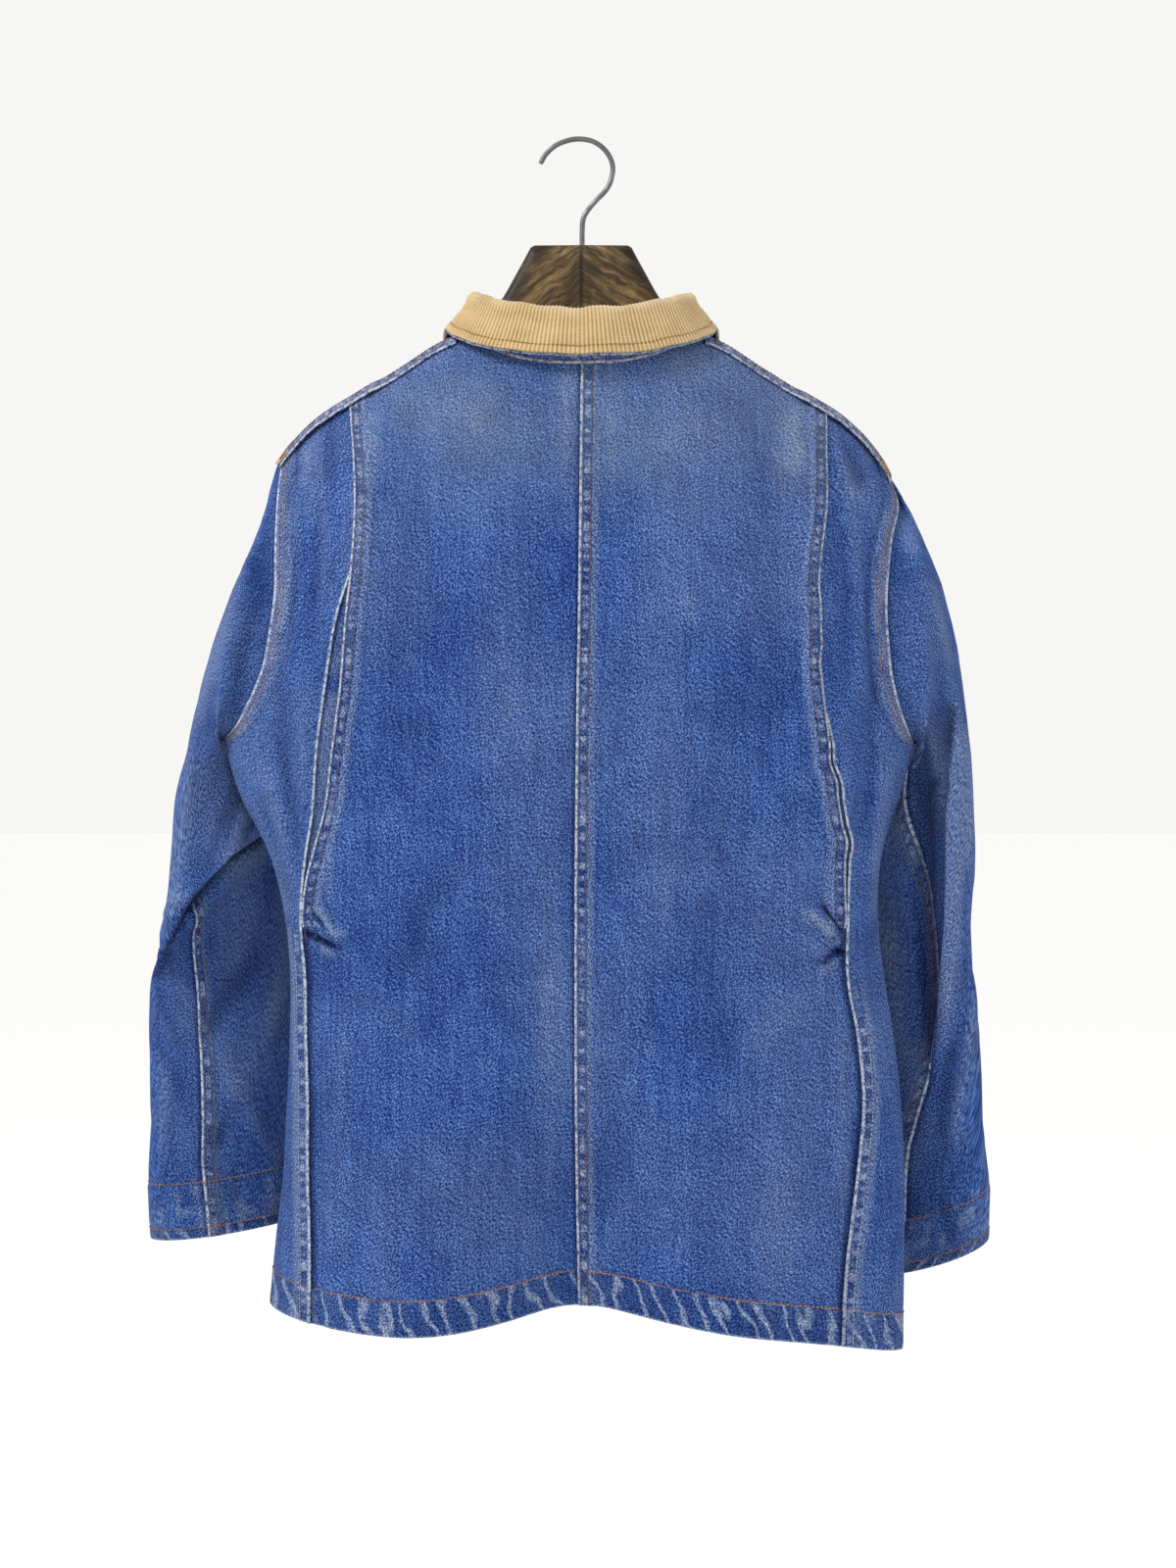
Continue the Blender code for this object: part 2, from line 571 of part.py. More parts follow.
# The section of the collar: share of the way to the roll or to the edge, and the round of the roll.
COLLAR_TURNS = np.concatenate([np.linspace(-171, -90, 7), np.linspace(-75, 75, 10), np.linspace(90, 171, 7)])


def neck_seam(turn):
    """Points of the neck seam at angles round the neck from the centre back, in degrees."""
    x = NECK_HALF * np.sin(np.radians(turn))
    back = np.abs(turn) <= 90
    z = np.where(back, through(BACK_NECK, 1, np.abs(x)), through(FRONT_NECK, 1, np.abs(x)))
    y = np.where(back, back_y(x, z), front_y(x, z))
    return np.stack([x, y, z], axis=-1)


def collar_path(turn):
    """Section of the collar at each angle: up the stand, over the roll and down to the edge, as rows of points."""
    seam = neck_seam(turn)
    outward = seam * (1, 1, 0) - (0, NECK_CENTRE_Y, 0)
    outward /= np.linalg.norm(outward, axis=-1, keepdims=True)
    size = np.abs(turn)
    roll_r, roll_h, edge_r, edge_h, lean = (through(COLLAR, k, size) for k in range(1, 6))
    side = np.sign(turn)
    base = 1.2 + 1.8 * np.exp(-((size - 90) / 12) ** 2) + 1.6 * ease(95, 115, size)
    steps = [
        (0 * roll_r, base), (0.5 * roll_r, 0.5 * roll_h), (roll_r - 0.6, roll_h - 5),
        (roll_r + 0.9, roll_h - 1.5), (roll_r + 3.6, roll_h), (roll_r + 6.3, roll_h - 1.5), (roll_r + 8, roll_h - 6),
        (0.45 * (roll_r + 8) + 0.55 * edge_r, 0.45 * (roll_h - 6) + 0.55 * edge_h), (edge_r, edge_h),
    ]
    rows = []
    for k, (out, up) in enumerate(steps):
        share = max(0, k - 6) / 2
        row = seam + outward * out[:, None]
        row[:, 2] += up
        row[:, 0] += side * lean * share
        rows.append(row)
    return np.stack(rows)


def make_collar():
    path = collar_path(COLLAR_TURNS)
    rows, columns = path.shape[:2]
    quads = grid_quads(rows, columns)
    between("collar", lifted(path, CORD).reshape(-1, 3), path.reshape(-1, 3), quads, CORDUROY)
    under_path = path.copy()
    last = path[-1] - path[-2]
    under_path[-1] += last / np.linalg.norm(last, axis=-1, keepdims=True) * 1.5
    under, inner = lifted(under_path, -1.6 * GAP), lifted(under_path, -1.6 * GAP - CLOTH)
    between("under_collar", under.reshape(-1, 3), inner.reshape(-1, 3), quads, DENIM)


def make_neck_band():
    """The denim band over the neck seam, laid on the back just under the collar."""
    x = np.concatenate([np.linspace(-86, -14, 8), [-4, 0, 13, 18], np.linspace(30, 86, 6)])
    rows = []
    for down in (0.5, 4.5, 9.0):
        z = through(BACK_NECK, 1, np.abs(x)) - down
        rise = LAYER * (1.1 + 1.1 * ease(-8, -2, x) * ease(20, 14, x))
        rows.append(on_body(x, z, True) + body_normal(x, z, True) * rise[:, None])
    points = np.stack(rows)
    cloth("neck_band", points.reshape(-1, 3), grid_quads(*points.shape[:2]), CLOTH, DENIM)


# ---- hanger -------------------------------------------------------------------------------------------------------
# One arm: distance from the middle, top, bottom, half thickness.
ARM = np.array([
    (0.2, -81, -162, 14), (20, -81, -164, 13.5), (38, -81, -168, 13), (45, -94, -171, 12.5), (59, -119, -177, 12),
    (74, -138, -184, 11), (86, -152, -190, 10.5), (98, -158, -197, 10.5), (125, 0, -214, 10.5), (160, 0, -232, 10),
    (190, 0, -247, 9), (208, 0, -255, 7.5), (218, 0, -257, 5),
], float)
ARM_SHOULDER = 110.0  # from here out the arm's top follows the shoulder
ARM_CLEAR = 2.4  # from the cloth's outer face at the ridge down to the wood
ARM_AROUND = 12


def make_arm(side):
    """One arm of the hanger: rounded-square sections swept out from the joint to under the shoulder."""
    out, top, bottom, thick = ARM.T
    slope = (ridge_z(out + 1) - ridge_z(out - 1)) / 2
    top = np.where(out > ARM_SHOULDER, ridge_z(out) - ARM_CLEAR * np.hypot(1, slope), top)
    turn = np.linspace(0, 2 * np.pi, ARM_AROUND, endpoint=False) + np.pi / ARM_AROUND
    y = through(RIDGE, 2, out)[:, None] + thick[:, None] * np.cos(turn)
    z = (top + bottom)[:, None] / 2 + (top - bottom)[:, None] / 2 * np.sin(turn) / np.sin(turn).max()
    x = side * out[:, None] + 0 * y
    capped_sweep("hanger_arm_left" if side < 0 else "hanger_arm_right", np.stack([x, y, z], axis=-1), WOOD)


# The hook's wire, from its tip over the arch and down into the hanger: x, z of the wire's middle.
HOOK = np.array([
    (-31.5, -17), (-27, -9.5), (-19, -2.6), (-9, 1.2), (0, 2), (9.5, 0), (18, -6), (23.3, -14.5), (24.3, -24),
    (20.5, -35.5), (12, -45), (5.2, -53), (1.6, -60), (0.8, -70), (0.8, -80.6),
], float)
HOOK_AROUND = 8


def make_hook():
    """The steel hook: a round wire swept along its curve, which lies in the plane of the hanger."""
    steps = np.arange(len(HOOK), dtype=float)
    fine = np.linspace(0, len(HOOK) - 1, 36)
    table = np.column_stack([steps, HOOK])
    x, z = through(table, 1, fine), through(table, 2, fine)
    tangent = np.stack([np.gradient(x), np.gradient(z)], axis=-1)
    tangent /= np.linalg.norm(tangent, axis=-1, keepdims=True)
    turn = np.linspace(0, 2 * np.pi, HOOK_AROUND, endpoint=False)
    side = WIRE * np.cos(turn)
    rings = np.stack([
        x[:, None] - tangent[:, 1:] * side,
        WIRE * np.sin(turn) - HOOK_PLANE + 0 * x[:, None],
        z[:, None] + tangent[:, :1] * side,
    ], axis=-1)
    capped_sweep("hanger_hook", rings, STEEL)


# ---- buttons ------------------------------------------------------------------------------------------------------
BUTTON_PROFILE = [(0.55, 0.0), (1.0, 0.6), (1.0, 2.2), (0.8, 3.2), (0.55, 2.6)]  # share of the radius, height


def make_button(number):
    """A plain shank button with a raised rim, turned about the line that stands on the front."""
    z = -268 - 112 * number
    turn = np.linspace(0, 2 * np.pi, 14, endpoint=False)
    ring_x, ring_z = np.cos(turn), np.sin(turn)
    seat = float(front_y(BUTTON_RADIUS * ring_x * 0.6, z + BUTTON_RADIUS * ring_z * 0.6).max()) + LAYER + 2 * GAP
    rings = [np.stack([share * BUTTON_RADIUS * ring_x, seat + height + 0 * turn,
                       z + share * BUTTON_RADIUS * ring_z], axis=-1) for share, height in BUTTON_PROFILE]
    capped_sweep(f"button_{number + 1}", np.stack(rings), BRASS)


for hand in (-1, 1):
    make_back(hand)
    make_pleat(hand)
    make_sleeve(hand, make_front(hand))
    make_arm(hand)
make_collar()
make_neck_band()
make_hook()
for count in range(BUTTONS):
    make_button(count)
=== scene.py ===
from functools import reduce

import bmesh
import bpy
import numpy as np
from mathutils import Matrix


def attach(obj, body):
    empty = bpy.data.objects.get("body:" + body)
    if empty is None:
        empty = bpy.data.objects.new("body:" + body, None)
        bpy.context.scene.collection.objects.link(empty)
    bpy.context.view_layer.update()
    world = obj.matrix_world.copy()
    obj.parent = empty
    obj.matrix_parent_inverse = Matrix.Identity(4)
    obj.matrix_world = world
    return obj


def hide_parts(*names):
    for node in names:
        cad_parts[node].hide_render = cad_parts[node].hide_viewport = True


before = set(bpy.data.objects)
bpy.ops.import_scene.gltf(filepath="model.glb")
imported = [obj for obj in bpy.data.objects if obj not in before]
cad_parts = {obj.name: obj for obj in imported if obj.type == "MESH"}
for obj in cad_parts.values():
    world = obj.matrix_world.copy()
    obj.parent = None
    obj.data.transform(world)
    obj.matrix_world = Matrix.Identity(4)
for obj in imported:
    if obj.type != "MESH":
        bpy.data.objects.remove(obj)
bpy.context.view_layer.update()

# ---- studio ----
# A pale floor under the hanging jacket, pale air all round, and wide soft lamps. The camera stands level with the
# middle of the back, as in the photograph, and sees 0.912 m by 1.216 m at the hook's plane.
FLOOR_Z = -1.32
FLOOR_RADIUS = 40.0
CAMERA_SPOT = (0.0053, -1.892, -0.496)
CAMERA_TO_HOOK = 1.9
VIEW_HEIGHT = 1.216
SENSOR = 24.0


def placed(name, content, spot=(0, 0, 0), turn=(0, 0, 0)):
    """An object in the scene at a spot in metres, turned by degrees."""
    made = bpy.data.objects.new(name, content)
    made.location = spot
    made.rotation_euler = np.radians(turn)
    bpy.context.scene.collection.objects.link(made)
    return made


def fresh_paint(name, **constants):
    """A material, its node tree and its shader's sockets, with constants set on those named."""
    paint = bpy.data.materials.new(name)
    paint.use_nodes = True
    sockets = paint.node_tree.nodes["Principled BSDF"].inputs
    for label, value in constants.items():
        sockets[label.replace("_", " ")].default_value = value
    return paint, paint.node_tree, sockets


def pale_floor():
    """A round floor, far wider than the view."""
    turn = np.linspace(0, 2 * np.pi, 64, endpoint=False)
    ring = np.stack([FLOOR_RADIUS * np.cos(turn), FLOOR_RADIUS * np.sin(turn), np.full(64, FLOOR_Z)], axis=-1)
    mesh = bpy.data.meshes.new("floor")
    mesh.from_pydata(ring.tolist(), [], [list(range(64))])
    mesh.materials.append(fresh_paint("pale_floor", Base_Color=(0.86, 0.86, 0.85, 1), Roughness=0.9,
                                      Emission_Color=(1, 1, 1, 1), Emission_Strength=0.16)[0])
    placed("floor", mesh)


def soft_lamp(name, spot, turn, size, watts):
    lamp = bpy.data.lights.new(name, "AREA")
    lamp.shape = "RECTANGLE"
    lamp.size, lamp.size_y = size
    lamp.energy = watts
    placed(name, lamp, spot, turn)


pale_floor()
soft_lamp("lamp_high_left", (-1.6, -1.3, 1.5), (42, 0, -50), (0.8, 0.8), 58)
soft_lamp("lamp_right", (2.2, -1.2, 0.1), (80, 0, 62), (1.2, 1.8), 9)
air = bpy.data.worlds.new("pale_air")
air.use_nodes = True
air.node_tree.nodes["Background"].inputs["Color"].default_value = (1.0, 0.992, 0.98, 1)
air.node_tree.nodes["Background"].inputs["Strength"].default_value = 0.93
bpy.context.scene.world = air
bpy.context.scene.view_settings.view_transform = "Standard"
eye = bpy.data.cameras.new("camera")
eye.sensor_fit = "VERTICAL"
eye.sensor_height = SENSOR
eye.lens = SENSOR * CAMERA_TO_HOOK / VIEW_HEIGHT
bpy.context.scene.camera = placed("camera", eye, CAMERA_SPOT, (90, 0, 0))

# ---- back halves ----
# Two halves of washed indigo twill, felled together down the centre: the right half's edge is folded under and laid
# over the left with two rows of stitches. Each outer edge is folded and stitched twice where the pleat opens beside
# it, and goes under the side seam below the tack.
HOOK_PLANE = 8.0  # the hook's plane is this far behind the body's middle plane; all sizes are in millimetres
SIDES = ((-1, "left"), (1, "right"))  # the sign of x, as seen from behind
CLOTH = 1.2
LAYER = 1.5  # from the face of one layer to the face of the next
LAP = 10.5  # width of a felled seam
HEM = 28.0
NECK_HALF = 91.0  # from the middle to the side of the neck, where the shoulder ridge begins
PLEAT_TOP = -210.0
TACK = -606.0  # the height where each pleat is tacked shut
UNDERARM = {-1: -462.0, 1: -466.0}
LATTICE = 97  # random numbers along each side of the lattice of uneven()
# height, x of the left and right silhouettes, y of them, depth of the left and right halves of the back, share of
# that depth lost at the centre seam, depth of the front
SECTION = np.array([
    (-150, -252, 262, 0, 0, 60, 60, 0.00, 62), (-250, -253, 262, 0, 0, 62, 62, 0.00, 66),
    (-350, -264, 262, 0, 0, 66, 66, 0.02, 70), (-462, -278, 259, 0, 0, 68, 70, 0.06, 74),
    (-500, -267, 249, 0, 0, 69, 71, 0.08, 76), (-550, -242, 233, 0, -2, 70, 72, 0.12, 80),
    (-606, -229, 230, 2, -5, 72, 72, 0.18, 84), (-650, -226, 235, 4, -8, 75, 72, 0.24, 86),
    (-700, -227, 242, 7, -14, 79, 72, 0.32, 88), (-750, -230, 246, 12, -21, 84, 72, 0.42, 90),
    (-800, -233, 247, 17, -29, 89, 71, 0.55, 93), (-850, -239, 246, 21, -35, 94, 70, 0.72, 96),
    (-930, -247, 244, 25, -40, 98, 70, 0.90, 100),
], float)
# the shoulder ridge: distance from the middle, height, y
RIDGE = np.array([
    (0, -104, -8), (60, -131, -6), (91, -148, -4), (110, -156, -2), (137, -173, 0), (174, -195, 5), (205, -214, 10),
    (221, -229, 13), (232, -243, 15), (242, -262, 17), (252, -290, 18), (300, -440, 18),
], float)
BACK_NECK = np.array([(0, -178), (30, -175.5), (60, -167), (80, -156), (91, -148)], float)  # distance, height
# pleat edge, and side seam below the tack: height, left x, right x, the side panel's fold from it left and right
PLEAT = np.array([
    (-200, -179, 190, -9, -9), (-240, -174, 188, -9, -9), (-280, -171.5, 187, -8, -8), (-325, -173, 182, -3, -6),
    (-365, -177, 180, 6, -3), (-425, -182, 182.5, 11, -2), (-470, -188, 188, 11, 2), (-520, -195, 198, 8, 3),
    (-547, -203, 201.5, 5, 3), (-575, -210, 201.5, 2, 2), (-606, -213, 201, 0.5, 0.5), (-640, -210.5, 201, 0, 0),
    (-690, -209.5, 209, 0, 0), (-735, -208, 212, 0, 0), (-790, -208, 206, 0, 0), (-850, -206, 198, 0, 0),
    (-930, -206, 193, 0, 0),
], float)
CENTRE = np.array([(-170, 0), (-345, -2), (-440, -3.5), (-800, -4), (-900, -2)], float)  # height, x
# hem: x, height at the back, height at the front
HEM_LINE = np.array([
    (-250, -900, -900), (-200, -907, -903), (-140, -909, -907), (-60, -902, -909), (0, -895, -910), (60, -900, -911),
    (110, -905, -913), (190, -914, -918), (248, -924, -924),
], float)
# right of the right-hand side seam the side panel turns away: height, x of the turn, how far it goes
TURN = np.array([
    (-500, 252, 0), (-543, 232, 0), (-574, 220, 8), (-608, 214, 18), (-650, 214, 22), (-700, 222, 16),
    (-760, 226, 6), (-800, 226, 0),
], float)
# creases of the back: from x, z to x, z, half width, height
BACK_CREASES = np.array([
    (-193, -213, -190, -262, 6, -2.4), (-204, -222, -203, -300, 7, 2.6), (-216, -240, -219, -282, 5, -1.8),
    (-160, -212, -150, -262, 10, 1.6), (-146, -205, -120, -232, 8, -1.4), (196, -222, 206, -282, 7, 2.2),
    (210, -238, 218, -275, 5, -1.8), (168, -206, 160, -256, 9, 1.8), (186, -232, 196, -330, 6, -1.6),
    (-190, -624, -170, -632, 6, 1.8), (-214, -596, -205, -560, 5, 1.6),
    (168, -612, 190, -632, 5, 2.2), (150, -640, 196, -628, 7, -1.6), (120, -700, 176, -640, 15, 2.0),
    (-150, -650, -196, -622, 9, -1.4), (-110, -700, -170, -640, 14, 1.6), (-60, -300, -30, -700, 26, 1.4),
    (60, -320, 50, -640, 24, 1.6), (110, -420, 96, -760, 20, -1.6), (-120, -360, -112, -800, 22, -1.4),
    (-46, -820, -24, -880, 9, 2.2), (34, -800, 14, -880, 9, 2.4), (150, -770, 140, -900, 14, 2.0),
    (96, -800, 88, -900, 12, -1.8), (-150, -800, -146, -905, 13, 1.6), (206, -840, 196, -905, 7, -2.0),
    (226, -270, 236, -360, 7, 2.0), (214, -330, 222, -430, 8, -1.8), (-228, -300, -236, -420, 8, 1.8),
    (-246, -470, -226, -540, 6, 2.4), (-236, -450, -214, -520, 6, -2.0), (240, -480, 222, -560, 6, 2.2),
    (-60, -190, -84, -232, 8, 1.2), (60, -190, 92, -226, 8, 1.2), (-30, -196, 34, -202, 6, 0.8),
    (-186, -214, -184, -252, 3.5, 1.8), (-209, -230, -213, -268, 3.5, 2.2), (-224, -252, -226, -330, 4, -2.4),
    (-218, -262, -222, -372, 5, 2.6), (-196, -270, -204, -400, 6, -2.4), (-230, -400, -214, -560, 6, -2.4),
    (-206, -420, -214, -520, 6, 2.2), (-246, -500, -222, -590, 5, -2.6), (200, -226, 214, -270, 4, -2.4),
    (212, -300, 216, -440, 6, 2.8), (200, -300, 202, -420, 5, -2.4), (224, -400, 216, -540, 6, -2.8),
    (232, -470, 224, -600, 5, 2.2), (196, -440, 208, -600, 5, 1.8), (-164, -250, -176, -420, 10, 1.8),
    (168, -240, 176, -460, 9, 1.6), (-130, -230, -140, -460, 16, -1.6), (136, -230, 150, -440, 15, -1.6),
    (20, -640, 24, -880, 12, -1.6), (-20, -520, -24, -700, 12, 1.4), (-180, -660, -186, -860, 9, 1.6),
    (186, -660, 170, -820, 9, -1.6), (-96, -560, -150, -660, 10, -1.4), (100, -540, 160, -650, 10, -1.4),
], float)
# sharp folds where the tacks pull: the same columns
TACK_FOLDS = np.array([
    (-211, -609, -185, -620, 1.8, -6.5), (-199, -590, -186, -612, 2.6, 4.6), (-206, -615, -188, -626, 2.4, 4.0),
    (-206, -590, -196, -604, 2.0, -4.2), (200, -620, 182, -631, 1.9, -6.5), (172, -592, 198, -619, 3.0, 5.2),
    (196, -628, 180, -637, 2.8, 2.8), (181, -586, 198, -608, 2.0, -4.4),
], float)


def cubic(t, span, low, high, slope_low, slope_high):
    """A smooth curve from low to high over a span, with a slope at each end."""
    bend = t * (1 - t) ** 2 * slope_low - t * t * (1 - t) * slope_high
    return low + t * t * (3 - 2 * t) * (high - low) + span * bend


def through(table, column, at):
    """Smooth curve through a table: a cubic between each two rows, whose slopes are those of the rows around."""
    order = np.argsort(table[:, 0])
    xs, ys = table[order, 0], table[order, column]
    slope = np.gradient(ys, xs)
    at = np.clip(at, xs[0], xs[-1])
    k = np.clip(np.searchsorted(xs, at, side="right") - 1, 0, len(xs) - 2)
    span = xs[k + 1] - xs[k]
    return cubic((at - xs[k]) / span, span, ys[k], ys[k + 1], slope[k], slope[k + 1])


def ease(low, high, at):
    """0 at low, 1 at high, and 3t^2 - 2t^3 between."""
    t = np.clip((at - low) / (high - low), 0, 1)
    return t * t * (3 - 2 * t)


def bell(at, middle, width):
    """1 at the middle, falling off on both sides as exp(-t^2)."""
    return np.exp(-((at - middle) / width) ** 2)


def uneven(a, b, size, seed):
    """Smooth unevenness from -1 to 1: fixed random numbers on a square lattice of the given size, eased between."""
    numbers = np.random.RandomState(seed).uniform(-1, 1, (LATTICE, LATTICE))
    a, b = np.broadcast_arrays(np.asarray(a, float) / size, np.asarray(b, float) / size)
    i, j = np.floor(a).astype(int), np.floor(b).astype(int)
    p, q = a - i, b - j
    p, q = p * p * (3 - 2 * p), q * q * (3 - 2 * q)
    i0, j0, i1, j1 = (k % LATTICE for k in (i, j, i + 1, j + 1))
    low = numbers[i0, j0] * (1 - p) + numbers[i1, j0] * p
    high = numbers[i0, j1] * (1 - p) + numbers[i1, j1] * p
    return low * (1 - q) + high * q


def creases(table, a, b):
    """Height of soft ridges and valleys: each is a bell curve across a straight line, fading out at its ends."""
    total = np.zeros(np.broadcast(a, b).shape)
    for a0, b0, a1, b1, width, height in table:
        length = np.hypot(a1 - a0, b1 - b0)
        along = ((a - a0) * (a1 - a0) + (b - b0) * (b1 - b0)) / length ** 2
        across = ((a - a0) * (b1 - b0) - (b - b0) * (a1 - a0)) / length
        past = np.maximum(np.abs(along - 0.5) - 0.5, 0) * length
        inside = np.clip(np.sin(np.pi * np.clip(along, 0, 1)), 0, 1) ** 0.5
        total = total + height * np.exp(-(across / width) ** 2 - (past / (0.8 * width)) ** 2) * (0.25 + 0.75 * inside)
    return total


def side_x(side, z):
    return through(SECTION, 1 if side < 0 else 2, z)


def centre_x(z):
    return through(CENTRE, 1, z)


def ridge_z(x):
    return through(RIDGE, 1, np.abs(x))


def roof(x, z):
    """0 at the shoulder ridge and 1 well below it: one minus a falling exponential of the drop."""
    drop = np.maximum(ridge_z(x) - z, 0)
    return 1 - np.exp(-np.sqrt(drop ** 2 + 12 * drop) / 45)


def middle_y(x, z):
    low, high = side_x(-1, z), side_x(1, z)
    share = np.clip((x - low) / (high - low), 0, 1)
    across = through(SECTION, 3, z) * (1 - share) + through(SECTION, 4, z) * share
    return across + through(RIDGE, 2, np.abs(x)) * np.exp(-np.maximum(ridge_z(x) - z, 0) / 140)


def crown(x, z):
    """Depth of the plan, 1 at the centre and 0 at the silhouettes: a superellipse of power 2.4."""
    middle = centre_x(z)
    reach = np.where(x < middle, middle - side_x(-1, z), side_x(1, z) - middle)
    share = np.clip(np.abs(x - middle) / reach, 0, 1)
    return np.sqrt(np.clip(1 - share ** 2.4, 0, 1))


def back_y(x, z):
    """y of the back: middle less depth times crown times roof, hollowed at the centre, with its creases."""
    middle = centre_x(z)
    right = ease(-60, 60, x - middle)
    deep = through(SECTION, 5, z) * (1 - right) + through(SECTION, 6, z) * right
    hollow = 1 - through(SECTION, 7, z) * bell(x, middle, 65)
    bulge = crown(x, z)
    turn = through(TURN, 2, z) * ease(0, 14, x - through(TURN, 1, z)) * bulge
    soft = 1.5 * uneven(x, z * 0.55, 62, 3) + 0.5 * uneven(x, z, 23, 4) + 0.2 * uneven(x, z, 9, 5)
    soft = soft + 1.25 * creases(BACK_CREASES, x, z) + creases(TACK_FOLDS, x, z)
    soft = soft * np.minimum(1, 2 * bulge) * np.minimum(1, roof(x, z) * 2)
    return middle_y(x, z) - deep * hollow * bulge * roof(x, z) + turn - soft


def grid_quads(rows, columns, first=0, flip=False, closed=False):
    """Quads of a grid stored row by row, facing the viewer who sees rows go down and columns go right."""
    i, j = np.meshgrid(np.arange(rows - 1), np.arange(columns if closed else columns - 1), indexing="ij")
    right = (j + 1) % columns
    above, below = i * columns, (i + 1) * columns
    quads = np.stack([above + j, below + j, below + right, above + right], axis=-1).reshape(-1, 4) + first
    return quads[:, ::-1] if flip else quads


def point_normals(points, quads):
    """Normal at each point: the sum of the crossed diagonals of the quads that meet there."""
    face = np.cross(points[quads[:, 2]] - points[quads[:, 0]], points[quads[:, 3]] - points[quads[:, 1]])
    total = np.zeros_like(points)
    for corner in range(4):
        for axis in range(3):
            total[:, axis] += np.bincount(quads[:, corner], face[:, axis], len(points))
    return total / np.maximum(np.linalg.norm(total, axis=1, keepdims=True), 1e-9)


def grid_normals(points, flip=False, closed=False):
    rows, columns = points.shape[:2]
    flat = points.reshape(-1, 3)
    return point_normals(flat, grid_quads(rows, columns, flip=flip, closed=closed)).reshape(points.shape)


def lengths(points, axis):
    """Distance run along a grid's rows (axis 1) or columns (axis 0), from its first point."""
    steps = np.linalg.norm(np.diff(points, axis=axis), axis=-1)
    start = np.zeros_like(points[..., 0].take([0], axis=axis))
    return np.concatenate([start, np.cumsum(steps, axis=axis)], axis=axis)


def mesh_piece(name, points, faces, paint, node=None, turn_out=False, sharp=None):
    """A piece from points in millimetres, smooth but for edges sharper than an angle, in place of a node if named."""
    mesh = bpy.data.meshes.new(name)
    mesh.from_pydata(((points + (0, HOOK_PLANE, 0)) * 0.001).tolist(), [], faces)
    if turn_out:
        work = bmesh.new()
        work.from_mesh(mesh)
        bmesh.ops.recalc_face_normals(work, faces=work.faces)
        work.to_mesh(mesh)
        work.free()
    mesh.materials.append(paint)
    mesh.shade_smooth()
    if sharp:
        mesh.set_sharp_from_angle(angle=sharp)
    piece = placed(name, mesh)
    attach(piece, "root")
    if node:
        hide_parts(node)
    return piece


def cloth_piece(node, outer, quads, wall, maps, marks, paint, wrap=None):
    """A cloth wall in place of a node: outer points, inner points a wall's depth behind them, and a rim round the
    free edges. maps are the piece's own UV maps and marks its painted values, one for each outer point. A tube's
    weave map goes on past its last column by wrap, the tube's girth."""
    outer = outer.reshape(-1, 3)
    count = len(outer)
    inner = outer - point_normals(outer, quads) * np.broadcast_to(np.ravel(wall), (count,)).reshape(-1, 1)
    edges = np.concatenate([quads[:, [k, (k + 1) % 4]] for k in range(4)])
    keys = edges[:, 0] * count + edges[:, 1]
    free = edges[~np.isin(keys, edges[:, 1] * count + edges[:, 0])]
    rim = np.stack([free[:, 1], free[:, 0], free[:, 0] + count, free[:, 1] + count], axis=-1)
    faces = np.concatenate([quads, quads[:, ::-1] + count, rim])
    piece = mesh_piece(f"{node}_cloth", np.concatenate([outer, inner]), faces.tolist(), paint, node, sharp=1.1)
    for label, pair in maps.items():
        at = np.tile(pair.reshape(-1, 2), (2, 1))[faces]
        if wrap is not None and label == "weave":
            across = at[..., 0]
            at[..., 0] = across + wrap * ((np.ptp(across, axis=1)[:, None] > wrap / 2) & (across < wrap / 2))
        piece.data.uv_layers.new(name=label).data.foreach_set("uv", at.reshape(-1).astype(np.float32))
    for label, value in marks.items():
        layer = piece.data.attributes.new(label, "FLOAT", "POINT")
        layer.data.foreach_set("value", np.tile(np.broadcast_to(np.ravel(value), (count,)), 2).astype(np.float32))
    return piece


FAR = 60.0  # millimetres out of reach of a map's wear


def cloth_maps(weave, seam, hem=(FAR, 0.0)):
    """A piece's maps: place in the weave, distance in from a seam's fold and along it, height above a hem and along
    it."""
    pairs = {"weave": weave, "seam": (np.clip(seam[0], -20, FAR), seam[1]), "hem": hem}
    return {label: np.stack(np.broadcast_arrays(*pair, weave[0])[:2], -1) for label, pair in pairs.items()}


def wire(tree, kind, settings=None, **sockets):
    """One shader node, with its settings and its sockets set or linked. i0, i1 ... are sockets by number."""
    made = tree.nodes.new("ShaderNode" + kind)
    for key, value in (settings or {}).items():
        setattr(made, key, value)
    for key, value in sockets.items():
        number = key[1:] if key[0] == "i" and key[1:].isdigit() else None
        socket = made.inputs[int(number)] if number else made.inputs[key.replace("_", " ")]
        if isinstance(value, bpy.types.NodeSocket):
            tree.links.new(value, socket)
        else:
            socket.default_value = value
    return made


def first_tree(*values):
    """The node tree of the first socket among the values."""
    return next(value.id_data for value in values if isinstance(value, bpy.types.NodeSocket))


def math_of(operation, *values):
    """A Math node's result."""
    sockets = {f"i{k}": value for k, value in enumerate(values)}
    return wire(first_tree(*values), "Math", {"operation": operation}, **sockets).outputs[0]


def times(*values):
    return reduce(lambda a, b: math_of("MULTIPLY", a, b), values)


def plus(*values):
    return reduce(lambda a, b: math_of("ADD", a, b), values)


def most(*values):
    return reduce(lambda a, b: math_of("MAXIMUM", a, b), values)


def step_of(value, low, high, start=0.0, end=1.0):
    """start below low, end above high, smooth between."""
    return wire(value.id_data, "MapRange", {"interpolation_type": "SMOOTHSTEP"}, Value=value, From_Min=low,
                From_Max=high, To_Min=start, To_Max=end).outputs[0]


